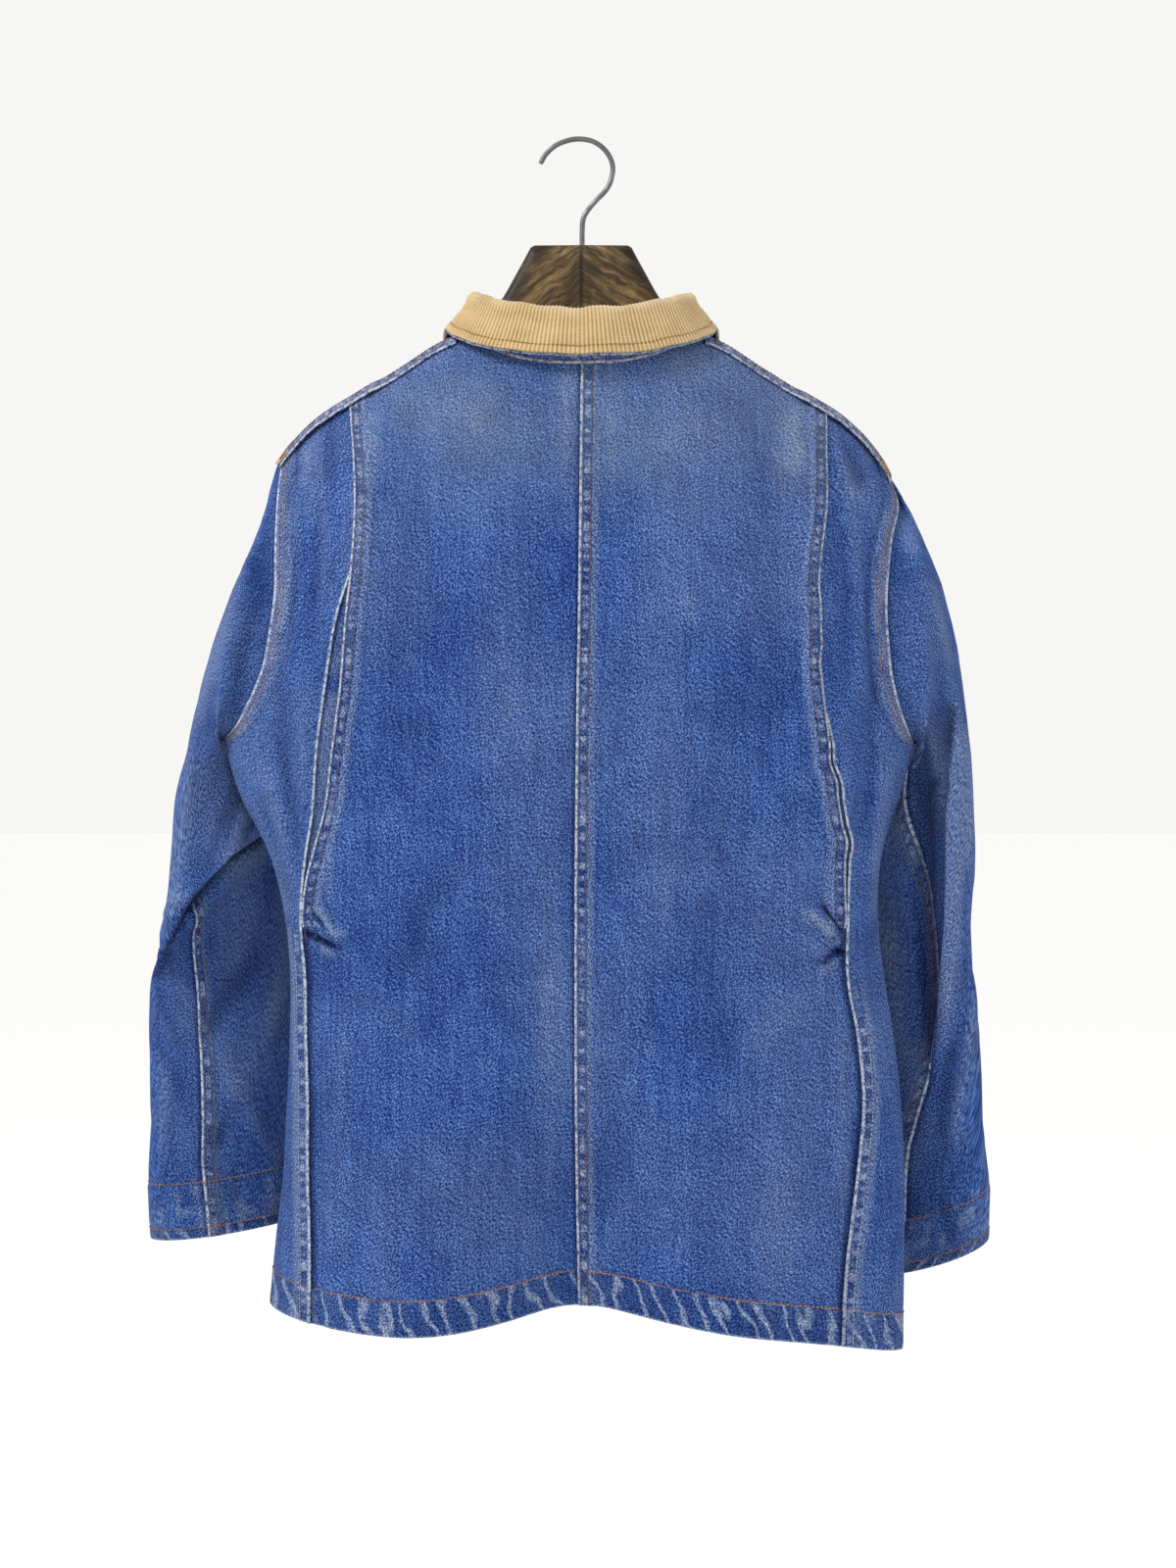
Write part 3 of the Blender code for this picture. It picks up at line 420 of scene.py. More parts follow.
def grain_of(vector, scale, detail=2.0, rough=0.5):
    return wire(vector.id_data, "TexNoise", Vector=vector, Scale=scale, Detail=detail, Roughness=rough).outputs["Fac"]


def blend_of(share, first, second, way="MIX"):
    settings = {"data_type": "RGBA", "blend_type": way}
    return wire(first_tree(share, first), "Mix", settings, i0=share, i6=first, i7=second).outputs[2]


def stretched(vector, x, y, z=1.0):
    return wire(vector.id_data, "VectorMath", {"operation": "MULTIPLY"}, i0=vector, i1=(x, y, z)).outputs[0]


def ramp_of(share, first, last, *between):
    """Colours at places along a value, each given as a place and a colour."""
    made = wire(share.id_data, "ValToRGB", Fac=share)
    stops = made.color_ramp.elements
    for stop, (place, colour) in zip(stops, (first, last)):
        stop.position, stop.color = place, colour
    for place, colour in between:
        stops.new(place).color = colour
    return made.outputs[0]


def bump_of(height, strength, depth):
    """A normal raised by a height, over a depth in metres."""
    return wire(height.id_data, "Bump", Strength=strength, Distance=depth, Height=height).outputs[0]


def shader_group(name, inputs, outputs):
    """An empty node group with named sockets, and its input and output nodes."""
    tree = bpy.data.node_groups.new(name, "ShaderNodeTree")
    for label, kind in inputs:
        tree.interface.new_socket(label, in_out="INPUT", socket_type="NodeSocket" + kind)
    for label, kind in outputs:
        tree.interface.new_socket(label, in_out="OUTPUT", socket_type="NodeSocket" + kind)
    return tree, tree.nodes.new("NodeGroupInput").outputs, tree.nodes.new("NodeGroupOutput").inputs


def seam_shadow_and_wear_group():
    """Wear beside a felled seam, and the painted shadow of its fold. The seam map holds the distance in from the
    folded
    edge and the distance along it: a pale line on the fold, pale and dark bars where the stitching gathers the lap,
    and a dark line of painted shadow just outside."""
    tree, given, out = shader_group(
        "seam_wear_and_shadow", [("Seam", "Vector"), ("Rope", "Float")], [("Pale", "Float"), ("Dark", "Float")])
    inside = wire(tree, "SeparateXYZ", i0=given["Seam"]).outputs[0]
    rough_line = grain_of(stretched(given["Seam"], 0.25, 0.22), 1.0, 3.0)
    broken = step_of(rough_line, 0.28, 0.62, 0.5, 0.97)
    fold = times(step_of(inside, -0.2, 0.15), step_of(inside, 1.5, 2.6, 1, 0), broken)
    shown = step_of(given["Rope"], 0.0, 0.08)
    wave = grain_of(stretched(given["Seam"], 0.03, 0.15), 1.0, 2.0)
    bars = step_of(wave, 0.40, 0.64)
    lap = times(step_of(inside, 2.6, 4.2), step_of(inside, 7.0, 9.0, 1, 0), bars, given["Rope"])
    halo = times(step_of(inside, 8.6, 10.0), step_of(inside, 11.5, 17.0, 1, 0), 0.34, given["Rope"])
    tree.links.new(most(times(lap, 0.75), halo, times(fold, shown)), out["Pale"])
    # painted shadow: a dark line on the cloth just outside the folded edge, which stands proud of it
    edge_shadow = times(step_of(inside, -5.0, -0.8), step_of(inside, -0.3, 0.1, 1, 0), shown, 0.85)
    hollow = times(step_of(inside, 1.4, 2.6), step_of(inside, 9.0, 10.5, 1, 0), math_of("SUBTRACT", 1.0, bars),
                   given["Rope"], 0.40)
    tree.links.new(most(edge_shadow, hollow), out["Dark"])
    return tree


def hem_wear_group():
    """Wear of a turned hem. The hem map holds the height above the edge and the distance along it: slanting pale bars
    of uneven length on a darker ground, and a broken pale line on the edge."""
    tree, given, out = shader_group(
        "hem_wear", [("Hem", "Vector"), ("Depth", "Float")], [("Pale", "Float"), ("Dark", "Float")])
    parts = wire(tree, "SeparateXYZ", i0=given["Hem"]).outputs
    height, along = parts[0], parts[1]
    within = step_of(math_of("DIVIDE", height, given["Depth"]), 0.9, 1.0, 1, 0)
    slant = plus(along, times(height, 0.34))
    at = wire(tree, "CombineXYZ", X=times(slant, 0.05), Y=times(height, 0.03))
    shift = times(grain_of(at.outputs[0], 1.0, 1.6, 0.5), 15.0)
    wave = math_of("SINE", plus(times(slant, 0.40), shift))
    fine = grain_of(stretched(given["Hem"], 0.3, 0.8), 1.0, 2.0)
    bars = times(step_of(wave, 0.10, 1.08), step_of(fine, 0.3, 0.6, 0.5, 1.0))
    edge = times(step_of(height, 0.6, 2.2, 1, 0), step_of(fine, 0.35, 0.6, 0.35, 0.9))
    tree.links.new(times(most(times(bars, 0.80), edge), within), out["Pale"])
    tree.links.new(times(math_of("SUBTRACT", 1.0, bars), within, 0.42), out["Dark"])
    return tree


def indigo_group():
    """Washed indigo twill: blue warp with pale flecks of weft along steep diagonal ribs, washed unevenly, paler where
    the Pale mask says and darker where the Dark mask says. The weave map is in millimetres of cloth."""
    tree, given, out = shader_group(
        "indigo_twill", [("Weave", "Vector"), ("Pale", "Float"), ("Dark", "Float"), ("Yellow", "Float")],
        [("Colour", "Color"), ("Height", "Float")])
    weave = given["Weave"]
    parts = wire(tree, "SeparateXYZ", i0=weave).outputs
    ribs = plus(times(math_of("SINE", plus(times(parts[0], 5.6), times(parts[1], 3.1))), 0.5), 0.5)
    lean = wire(tree, "Mapping", {"vector_type": "POINT"}, Vector=weave, Rotation=(0, 0, 0.62)).outputs[0]
    fleck = step_of(grain_of(stretched(lean, 1.0, 0.50), 1.0, 3.0, 0.75), 0.40, 0.61)
    streak = grain_of(stretched(weave, 0.30, 0.016), 1.0, 3.0, 0.6)
    patch = grain_of(stretched(weave, 0.012, 0.012), 1.0, 4.0, 0.55)
    cloud = grain_of(stretched(weave, 0.06, 0.045), 1.0, 3.0, 0.6)
    tone = plus(times(fleck, 0.72), times(streak, 0.40), times(ribs, 0.10), times(patch, 0.34), times(cloud, 0.30))
    tone = math_of("SUBTRACT", tone, 0.375)
    blue = ramp_of(tone, (0.16, (0.0012, 0.0088, 0.070, 1)), (0.96, (0.125, 0.250, 0.53, 1)),
                   (0.48, (0.0082, 0.0325, 0.180, 1)), (0.70, (0.029, 0.084, 0.31, 1)))
    # the Pale mask brings wear and also painted highlight on crease ridges
    worn = blend_of(fleck, (0.060, 0.115, 0.27, 1), (0.44, 0.51, 0.60, 1))
    pale = times(given["Pale"], step_of(fleck, 0.05, 0.6, 0.55, 1.0))
    colour = blend_of(pale, blue, worn)
    bare = times(step_of(given["Pale"], 0.66, 1.0), step_of(fleck, 0.0, 0.5, 0.4, 0.8))
    colour = blend_of(bare, colour, (0.54, 0.59, 0.65, 1))
    speck = step_of(grain_of(stretched(weave, 0.8, 0.8), 1.0, 2.0, 0.6), 0.46, 0.62)
    colour = blend_of(times(given["Yellow"], speck), colour, (0.17, 0.215, 0.215, 1))
    # the Dark mask brings the dark of the roping and also painted shade and painted shadow lines
    dark = blend_of(given["Dark"], (1, 1, 1, 1), (0.17, 0.22, 0.36, 1))
    tree.links.new(blend_of(1.0, colour, dark, "MULTIPLY"), out["Colour"])
    tree.links.new(plus(times(ribs, 0.5), fleck), out["Height"])
    return tree


seam_wear_and_shadow, hem_wear, indigo = seam_shadow_and_wear_group(), hem_wear_group(), indigo_group()


def denim(name, hem_depth):
    """Denim for one piece: its painted marks and maps go through the shared groups into the twill."""
    paint, tree, shader = fresh_paint(
        name, Roughness=0.86, Specular_IOR_Level=0.10, Sheen_Weight=0.05, Sheen_Roughness=0.5)
    maps = {label: wire(tree, "UVMap", {"uv_map": label}).outputs[0] for label in ("weave", "seam", "hem")}
    marks = {label: wire(tree, "Attribute", {"attribute_name": label}).outputs["Fac"]
             for label in ("pale", "dark", "yellow", "rope")}

    def shared(group, **sockets):
        return wire(tree, "Group", {"node_tree": group}, **sockets).outputs

    seam = shared(seam_wear_and_shadow, Seam=maps["seam"], Rope=marks["rope"])
    hem = shared(hem_wear, Hem=maps["hem"], Depth=hem_depth)
    twill = shared(indigo, Weave=maps["weave"], Pale=most(seam["Pale"], hem["Pale"], marks["pale"]),
                   Dark=most(seam["Dark"], hem["Dark"], marks["dark"]), Yellow=marks["yellow"])
    tree.links.new(twill["Colour"], shader["Base Color"])
    tree.links.new(bump_of(twill["Height"], 0.5, 0.0006), shader["Normal"])
    return paint


body_denim = denim("body_denim", HEM)


def row_heights(top, side, hem):
    """Heights down each column: eased from its top to the underarm, then even to the tack and on to the hem."""
    top = np.asarray(top, float)
    hem = np.broadcast_to(hem, top.shape)
    arm = UNDERARM[side]
    turn = (1 - np.cos(np.linspace(0, np.pi, UPPER_ROWS + 1))) / 2
    upper = top + (arm - top) * turn[:-1, None]
    fine = WAIST_ROWS // 2
    waist = np.concatenate([np.linspace(arm, TACK + 17, WAIST_ROWS - fine), np.linspace(TACK + 16, TACK - 18, fine)])
    waist = waist[:, None] * np.ones_like(top)
    skirt = waist[-1] + (hem - waist[-1]) * np.linspace(0, 1, SKIRT_ROWS + 1)[1:, None]
    return np.concatenate([upper, waist, skirt])


UPPER_ROWS, WAIST_ROWS, SKIRT_ROWS = ((92, 56, 82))


def hem_z(x, back):
    return through(HEM_LINE, 1 if back else 2, x)


def back_top(x):
    return np.where(np.abs(x) < NECK_HALF, through(BACK_NECK, 1, np.abs(x)), ridge_z(x) - 2.0)


def seam_x(side, z):
    """x of a pleat's edge and of the side seam below it. The right one rolls a little, in waves about 30 mm long."""
    rolled = 1.5 * uneven(z, 0.0, 15, 95) * ease(-300, -350, z) * ease(-606, -580, z)
    return through(PLEAT, 1 if side < 0 else 2, z) + rolled * (side > 0)


def gathered(inside, along, seed):
    """Height of the puckers that stitching draws up in a lap: uneven waves 10 mm long, highest between the rows."""
    waves = uneven(along, inside * 0.3, 5.0, seed)
    return 0.42 * waves * bell(inside, 5.5, 4.5)


def turned_hem(height, along, seed):
    """Height of a turned hem: one layer more up to its stitches, drawn in at them, with slanting ropes below."""
    ropes = uneven(along + 0.34 * height, height * 0.3, 7.0, seed)
    inside = ease(-1, 3, height) * ease(HEM, HEM - 4, height)
    pulled = bell(height, HEM, 1.6)
    return inside * (0.7 + 0.75 * ropes) - 0.5 * pulled


# rubbed places: x, z, half width, half height, strength
RUBBED = np.array([
    (-161, -238, 6, 34, 0.42), (-166, -300, 5, 40, 0.25), (163, -236, 8, 30, 0.42), (152, -250, 7, 44, 0.25),
    (-10, -222, 6, 40, 0.30), (22, -226, 6, 42, 0.30), (218, -262, 8, 26, 0.42), (-215, -252, 6, 16, 0.34),
    (-70, -226, 40, 20, 0.16), (74, -232, 44, 22, 0.16), (-196, -300, 4, 50, 0.25), (206, -300, 5, 60, 0.20),
    (-192, -560, 5, 34, 0.32), (188, -580, 5, 26, 0.24), (-60, -440, 30, 60, 0.10), (80, -520, 34, 80, 0.10),
    (-232, -580, 8, 40, 0.22), (232, -590, 8, 50, 0.22), (-24, -700, 8, 120, 0.12), (196, -760, 6, 60, 0.20),
], float)


def wash(x, z):
    """How far the back is washed out: paler over the shoulders, in a few soft patches and in the rubbed places."""
    top = 0.11 * ease(-330, -200, z) * (0.75 + 0.5 * uneven(x, z, 30, 21))
    patches = 0.16 * np.clip(uneven(x, z * 0.7, 80, 22) - 0.1, 0, 1)
    scuffs = 0.5 * np.clip(uneven(x * 1.6, z, 17, 23) - 0.76, 0, 1)
    rubbed = sum(much * bell(x, x0, wide) * bell(z, z0, tall) for x0, z0, wide, tall, much in RUBBED)
    return np.clip(top + patches + scuffs + rubbed * (0.8 + 0.6 * uneven(x * 1.5, z, 12, 25)), 0, 0.8)


# columns of a back half: share of its width from the centre seam, and millimetres beyond that
BACK_COLUMNS = {
    -1: ([(0, -9.0), (0, -5), (0, -2), (0, -0.5)] + [(0, d) for d in (0.6, 1.5, 3, 5, 8, 12)]
         + [(s, 0) for s in np.linspace(0.10, 0.82, 34)] + [(1, d) for d in np.linspace(-26, -3, 18)]
         + [(1, -1.6), (1, -0.7), (1, 0)]),
    1: ([(0, 0), (0, 0.6), (0, 1.4)] + [(0, d) for d in np.linspace(2.4, 16, 13)]
        + [(s, 0) for s in np.linspace(0.12, 0.82, 33)] + [(1, d) for d in np.linspace(-26, -3, 18)]
        + [(1, -1.6), (1, -0.7), (1, 0)]),
}


def back_half(side):
    """Points, maps and marks of a half: its heights and x positions are solved together, then its outer edge is
    lifted over the side panel above the tack and tucked under it below."""
    share, beyond = np.array(BACK_COLUMNS[side], float).T
    x = np.tile(side * (share * 185 + beyond), (2, 1))
    for settling in range(3):
        z = row_heights(back_top(x[0]), side, hem_z(x[-1], True))
        middle = centre_x(z)
        under = 5.5 * ease(TACK - 9, TACK - 18, z)
        edge = (share == 1) * (beyond > -14)
        x = middle + share * (seam_x(side, z) - middle) + side * (beyond + under * edge)
    flat = np.stack([x, back_y(x, z), z], axis=-1)
    out = grid_normals(flat, flip=side < 0)
    above = np.where(z > TACK, 1, -1.35) * ease(0, 9, np.abs(z - TACK))
    to_edge = side * (seam_x(side, z) - x)
    to_centre = side * (x - middle)
    lift = LAYER * above * ease(17, 10, to_edge) * (share == 1)
    upper = z > TACK
    roll = 0.5 * bell(to_edge, 1.2, 1.1) * upper + 0.5 * gathered(to_edge, z, 31) * upper
    if side > 0:
        lift = lift + LAYER * ease(LAP + 2.5, LAP, to_centre) * (share == 0)
        roll = roll + 0.5 * bell(to_centre, 1.1, 1.0) + gathered(to_centre, z, 32)
    height = z - z[-1]
    lift = lift + roll + turned_hem(height, x, 33)
    points = flat + out * lift[..., None]
    edge_map = np.where(upper, to_edge, FAR)
    inside = np.minimum(to_centre, edge_map) if side > 0 else edge_map
    maps = cloth_maps((x + 400, z), (inside, z), (height, x))
    # painted shade for the dark mark: a shadow line beside the centre seam's fold on the left half, one beside the
    # side panel's fold below the tack, and darkening in the valleys of the tack folds and creases
    beside = 0.85 * bell(to_centre, 0, 2.2) * (side < 0)
    beside = beside + 0.85 * bell(to_edge, 1, 3) * ~upper
    folds = creases(TACK_FOLDS, x, z)
    soft = creases(BACK_CREASES, x, z)
    beside = beside + np.clip(-folds / 3.4, 0, 0.95) + 0.11 * np.clip(-soft, 0, 4)
    # pale mark: the washed and rubbed places, and a painted highlight on the ridges of the tack folds and creases
    worn = wash(x, z) + 0.16 * np.clip(folds, 0, 3) + 0.05 * np.clip(soft, 0, 3)
    marks = {"pale": np.clip(worn, 0, 1), "dark": np.clip(beside, 0, 1), "rope": np.ones_like(x),
             "yellow": 0.62 * ease(-330, -235, z) * (0.45 + 0.55 * ease(-0.6, 0.6, uneven(x, z, 42, 24)))}
    return points, x, z, maps, marks


def along_line(values, run, at):
    """Points or normals of a line at distances run along it."""
    return np.stack([np.interp(at, run, values[:, k]) for k in range(3)], -1)


def stitch_rows(name, lines, paint, pitch=3.3, length=2.7, thick=0.46, turned=False):
    """Stitches along lines of points with normals. Each stitch is a bowed spindle: four rings of four points whose
    radius swells in the middle, laid along the line, or across it if turned."""
    share = np.array([-1.0, -0.5, 0.5, 1.0])
    swell = np.array([0.3, 0.95, 0.95, 0.3])
    ring = np.arange(4) * np.pi / 2
    spots, alongs, normals = [], [], []
    for line, normal in lines:
        run = lengths(line[None], 1)[0]
        if run[-1] < pitch:
            continue
        at = np.arange(pitch / 2, run[-1], pitch)
        spots.append(along_line(line, run, at))
        alongs.append(along_line(line, run, at + 0.6) - along_line(line, run, at - 0.6))
        normals.append(along_line(normal, run, at))
    spot, along, up = np.concatenate(spots), np.concatenate(alongs), np.concatenate(normals)
    up /= np.linalg.norm(up, axis=1, keepdims=True)
    along -= up * (along * up).sum(1, keepdims=True)
    along /= np.linalg.norm(along, axis=1, keepdims=True)
    across = np.cross(up, along)
    if turned:
        along, across = across, -along
    count = len(spot)
    size = 1 + 0.12 * uneven(np.arange(count), 0.0, 1.0, 41)
    along = along * size[:, None]
    spot, along, across, up = (v[:, None, None] for v in (spot, along, across, up))
    share, swell = share[:, None, None], swell[:, None, None]
    cos, sin = np.cos(ring)[:, None], np.sin(ring)[:, None]
    body = (spot + along * (share * length / 2) + (across * cos + up * sin) * (swell * thick)
            + up * (0.16 + 0.22 * (1 - share ** 2)))
    one = np.concatenate([grid_quads(4, 4, closed=True), [[0, 1, 2, 3], [15, 14, 13, 12]]])
    faces = (one[None] + 16 * np.arange(count)[:, None, None]).reshape(-1, 4)
    return mesh_piece(name, body.reshape(-1, 3), faces.tolist(), paint, turn_out=True)


def thread(name, fresh, faded):
    """Cotton thread, faded unevenly from its first colour."""
    paint, tree, shader = fresh_paint(name, Roughness=0.7)
    place = wire(tree, "TexCoord").outputs["Object"]
    share = step_of(grain_of(place, 45.0), 0.45, 0.68)
    twist = grain_of(place, 1500.0, 1.0)
    tree.links.new(blend_of(times(twist, 0.5), blend_of(share, fresh, faded), (0.05, 0.03, 0.03, 1)),
                   shader["Base Color"])
    tree.links.new(bump_of(twist, 0.4, 0.0002), shader["Normal"])
    return paint


brown_thread = thread("brown_thread", (0.42, 0.18, 0.045, 1), (0.20, 0.10, 0.062, 1))
faded_thread = thread("faded_thread", (0.150, 0.075, 0.062, 1), (0.085, 0.075, 0.14, 1))
pale_thread = thread("pale_thread", (0.42, 0.46, 0.55, 1), (0.30, 0.27, 0.36, 1))


def line_on(points, normals, across, at, rows=slice(None)):
    """A line down a grid where a value given for each point passes a number: a share between two columns per row."""
    grid, out, value = points[rows], normals[rows], across[rows]
    reached = value >= at
    k = np.clip(np.argmax(reached, axis=1), 1, value.shape[1] - 1)
    i = np.arange(len(grid))
    low, high = value[i, k - 1], value[i, k]
    t = np.clip((at - low) / np.where(np.abs(high - low) < 1e-6, 1, high - low), 0, 1)[:, None]
    line = grid[i, k - 1] * (1 - t) + grid[i, k] * t
    keep = reached.any(axis=1)
    return line[keep], (out[i, k - 1] * (1 - t) + out[i, k] * t)[keep]


def rows_at_height(points, normals, height, at):
    """A line across a grid at one height above the hem: the same, between two rows of each column."""
    return line_on(points[::-1].transpose(1, 0, 2), normals[::-1].transpose(1, 0, 2), height[::-1].T, at)


# rows of stitches: distances in from a pleat's edge and from the centre seam's fold, and height above the hem
PLEAT_STITCHES = (1.9, 7.3)
CENTRE_STITCHES = (2.4, 8.6)
HEM_STITCH = HEM - 1.0
for side, word in SIDES:
    points, x, z, maps, marks = back_half(side)
    quads = grid_quads(*points.shape[:2], flip=side < 0)
    piece = cloth_piece(f"back_{word}", points, quads, CLOTH, maps, marks, body_denim)
    out = grid_normals(points, flip=side < 0)
    from_edge = -side * (seam_x(side, z) - x)
    above = slice(4, UPPER_ROWS + int(0.88 * WAIST_ROWS))
    rows = [line_on(points, out, from_edge, -at, above) for at in PLEAT_STITCHES]
    if side > 0:
        rows += [line_on(points, out, x - centre_x(z), at) for at in CENTRE_STITCHES]
    stitch_rows(f"back_{word}_stitches", rows, faded_thread)
    inner = slice(5, -6)
    hem_row = rows_at_height(points[:, inner], out[:, inner], (z - z[-1])[:, inner], HEM_STITCH)
    stitch_rows(f"hem_{word}_stitches", [hem_row], brown_thread, thick=0.62)

# ---- fronts ----
# Each front is cut in one with its side panel, so no seam shows under the arm. Behind, the panel's folded edge lies
# under the pleat above the tack and is felled over the back below it. On top the front laps the back's shoulder. The
# left front buttons over the right, and both armhole edges are folded over the sleeves and stitched twice.
FRONT_NECK = np.array([(0, -240), (25, -237), (50, -224), (72, -196), (85, -166), (91, -148)], float)
FRONT_OVERLAP = 18.0
OVERLAP_LIFT = 1.15 * LAYER  # the left front over the right one
SHOULDER_LAP = 9.0
# armhole: height, x of the back edge, x of the front edge
ARMHOLE = {
    -1: np.array([
        (-243, -232, -232), (-260, -234, -229), (-283, -235, -222), (-316, -235, -214), (-345, -234, -212),
        (-381, -238, -218), (-409, -244, -230), (-435, -256, -247), (-452, -267, -262), (-462, -278, -278),
    ], float),
    1: np.array([
        (-256, 239, 239), (-272, 246, 234), (-309, 239, 222), (-352, 234, 214), (-387, 235, 216),
        (-423, 240, 226), (-447, 248, 240), (-458, 254, 250), (-466, 259, 259),
    ], float),
}
# creases of the fronts: from x, z to x, z, half width, height
FRONT_CREASES = np.array([
    (-210, -250, -150, -420, 16, 2.6), (-190, -240, -110, -400, 13, -2.0), (212, -260, 140, -430, 17, 2.6),
    (190, -244, 100, -390, 13, -2.0), (-240, -480, -150, -640, 14, 2.4), (236, -490, 150, -650, 14, 2.4),
    (-200, -560, -90, -760, 18, 2.2), (196, -560, 90, -750, 18, 2.0), (-120, -700, -130, -890, 18, -2.0),
    (110, -690, 130, -890, 18, -2.0), (-60, -300, -50, -520, 10, -1.5), (62, -300, 56, -560, 11, -1.5),
    (-30, -320, 30, -340, 9, 1.0), (-30, -440, 34, -458, 9, 1.0), (30, -548, -34, -566, 9, 1.0),
    (-44, -660, 30, -684, 10, 1.2), (-180, -780, -170, -900, 12, 1.8), (190, -780, 176, -905, 12, 1.8),
], float)


def front_y(x, z):
    """y of the fronts: middle plus depth times crown times roof, with its creases."""
    bulge = crown(x, z)
    soft = 1.5 * uneven(x, z * 0.55, 62, 13) + 0.5 * uneven(x, z, 23, 14) + 0.2 * uneven(x, z, 9, 15)
    soft = (soft + creases(FRONT_CREASES, x, z)) * np.minimum(1, 2 * bulge) * np.minimum(1, roof(x, z) * 2)
    return middle_y(x, z) + through(SECTION, 8, z) * bulge * roof(x, z) + soft


def on_body(x, z, back):
    return np.stack([x, back_y(x, z) if back else front_y(x, z), z], axis=-1)


def body_normal(x, z, back):
    """Outward normal of the back or the fronts, from their slopes over a millimetre."""
    face, sign = (back_y, 1) if back else (front_y, -1)
    slope_x, slope_z = face(x + 0.5, z) - face(x - 0.5, z), face(x, z + 0.5) - face(x, z - 0.5)
    normal = np.stack([sign * slope_x, -sign * np.ones_like(x), sign * slope_z], axis=-1)
    return normal / np.linalg.norm(normal, axis=-1, keepdims=True)


def angle_at(side, x, z):
    """Angle round the plan: 0 at the centre seam and a quarter turn at the silhouette."""
    middle = centre_x(z)
    return np.arcsin(np.clip(side * (x - middle) / np.abs(side_x(side, z) - middle), -1, 1))


def x_at(side, angle, z):
    middle = centre_x(z)
    return middle + side * np.sin(angle) * np.abs(side_x(side, z) - middle)


def edge_angle(side, z, back):
    """Angle of the armhole's edge above the underarm, and a quarter turn below it."""
    edge = angle_at(side, through(ARMHOLE[side], 1 if back else 2, z), z)
    return np.where(z > UNDERARM[side] + 0.01, edge, np.pi / 2)


def front_top(x):
    return np.where(np.abs(x) < NECK_HALF - 0.01, through(FRONT_NECK, 1, np.abs(x)), ridge_z(x))


def layers_over(side, x):
    """Layers that the shoulder's lap goes over: one, and two beyond the pleat's edge."""
    return 1 + ease(-28, -14, side * (x - seam_x(side, PLEAT_TOP)))


def over_ridge(x):
    """One layer, square to the shoulder ridge as seen from behind."""
    across = -(ridge_z(np.abs(x) + 1) - ridge_z(np.abs(x) - 1)) / 2 * np.sign(x)
    return LAYER * np.stack([across, 0 * x, np.ones_like(x)], axis=-1) / np.hypot(across, 1)[..., None]


# columns of a side panel: share of the angle from the lap's inner side to the last edge, and millimetres beyond the
# fold; of a front: share of the angle from the first edge to the last, and millimetres beyond
SIDE_COLUMNS = np.array([(0, d) for d in (0, 0.6, 1.4, 2.3, 3.4, 4.5, 5.6, 6.8, 8, 9.2, LAP)]
                        + [(s, LAP) for s in np.linspace(0.06, 0.74, 15)]
                        + [(s, LAP) for s in np.linspace(0.77, 0.97, 13)] + [(0.985, LAP), (1, LAP)])
FRONT_COLUMNS = np.array([(0, 0), (0.012, 0), (0.025, 0)] + [(s, 0) for s in np.linspace(0.045, 0.17, 9)]
                         + [(s, 0) for s in np.linspace(0.20, 0.84, 30)] + [(1, d) for d in np.linspace(-30, -8, 8)]
                         + [(1, d) for d in np.linspace(-5, 15, 9)] + [(1, 16.4), (1, 17.4), (1, 18)])
NECK_SHARE = 0.70


def side_panel(side):
    """The side panel from its folded edge to the armhole or the silhouette."""
    share, beyond = SIDE_COLUMNS.T
    x = side * np.linspace(185, 238, len(share)) * np.ones((2, 1))
    for settling in range(3):
        top = ridge_z(x[0]) - 2.0
        top[-1] = ARMHOLE[side][0, 0] - 2.0
        z = row_heights(top, side, hem_z(x[-1], True))
        fold = through(PLEAT, 3 if side < 0 else 4, z)
        start = angle_at(side, seam_x(side, z) + side * (fold + beyond), z)
        x = x_at(side, start + (edge_angle(side, z, True) - start) * share, z)
    return x, z


def front_panel(side, panel_z):
    """The front from the armhole or the silhouette to past the centre. The shares are stretched so that one column
    meets the side of the neck."""
    share, beyond = FRONT_COLUMNS.T
    x = side * np.linspace(238, 0, len(share)) * np.ones((2, 1))
    for settling in range(6):
        top = front_top(x[0])
        top[0] = ARMHOLE[side][0, 0]
        z = row_heights(top, side, hem_z(x[-1], False))
        z[UPPER_ROWS:] += (panel_z[UPPER_ROWS:, -1:] - z[UPPER_ROWS:, :1]) * ease(0.1, 0, share)
        start = edge_angle(side, z, False)
        end = angle_at(side, centre_x(z), z)
        at_neck = angle_at(side, side * NECK_HALF, ridge_z(NECK_HALF))
        kept = (start[0, 0] - at_neck) / (start[0, 0] - end[0, 0])
        at = np.where(share < NECK_SHARE, share / NECK_SHARE * kept,
                      kept + (share - NECK_SHARE) / (1 - NECK_SHARE) * (1 - kept))
        x = x_at(side, start + (end - start) * at, z) - side * beyond
    return x, z


def to_armhole(points):
    """Distance in the cloth from each point to the armhole's edge, in the grid's last column; far below the arm."""
    run = lengths(points, 1)
    return np.where(np.arange(len(points))[:, None] <= UPPER_ROWS, run[:, -1:] - run, FAR)


def armhole_edge(side, arm, z, puckers, seed):
    """Height of the armhole's folded and stitched edge, which fades out at the underarm."""
    free = ease(UNDERARM[side] - 1, UNDERARM[side] + 30, z)
    return (0.5 * bell(arm, 1.2, 1.0) + 1.2 * ease(19, 15, arm) + puckers * gathered(arm - 3, z, seed)) * free


def side_hem(x, z, seed):
    """Height of the turned hem, less of it at the silhouettes."""
    return turned_hem(z - z[-1], x, seed) * np.minimum(1, 0.25 + crown(x, z))


def armhole_wear(arm, z, seed):
    return 0.36 * ease(21, 14, arm) * (0.7 + 0.6 * uneven(arm * 2, z * 0.6, 7, seed))


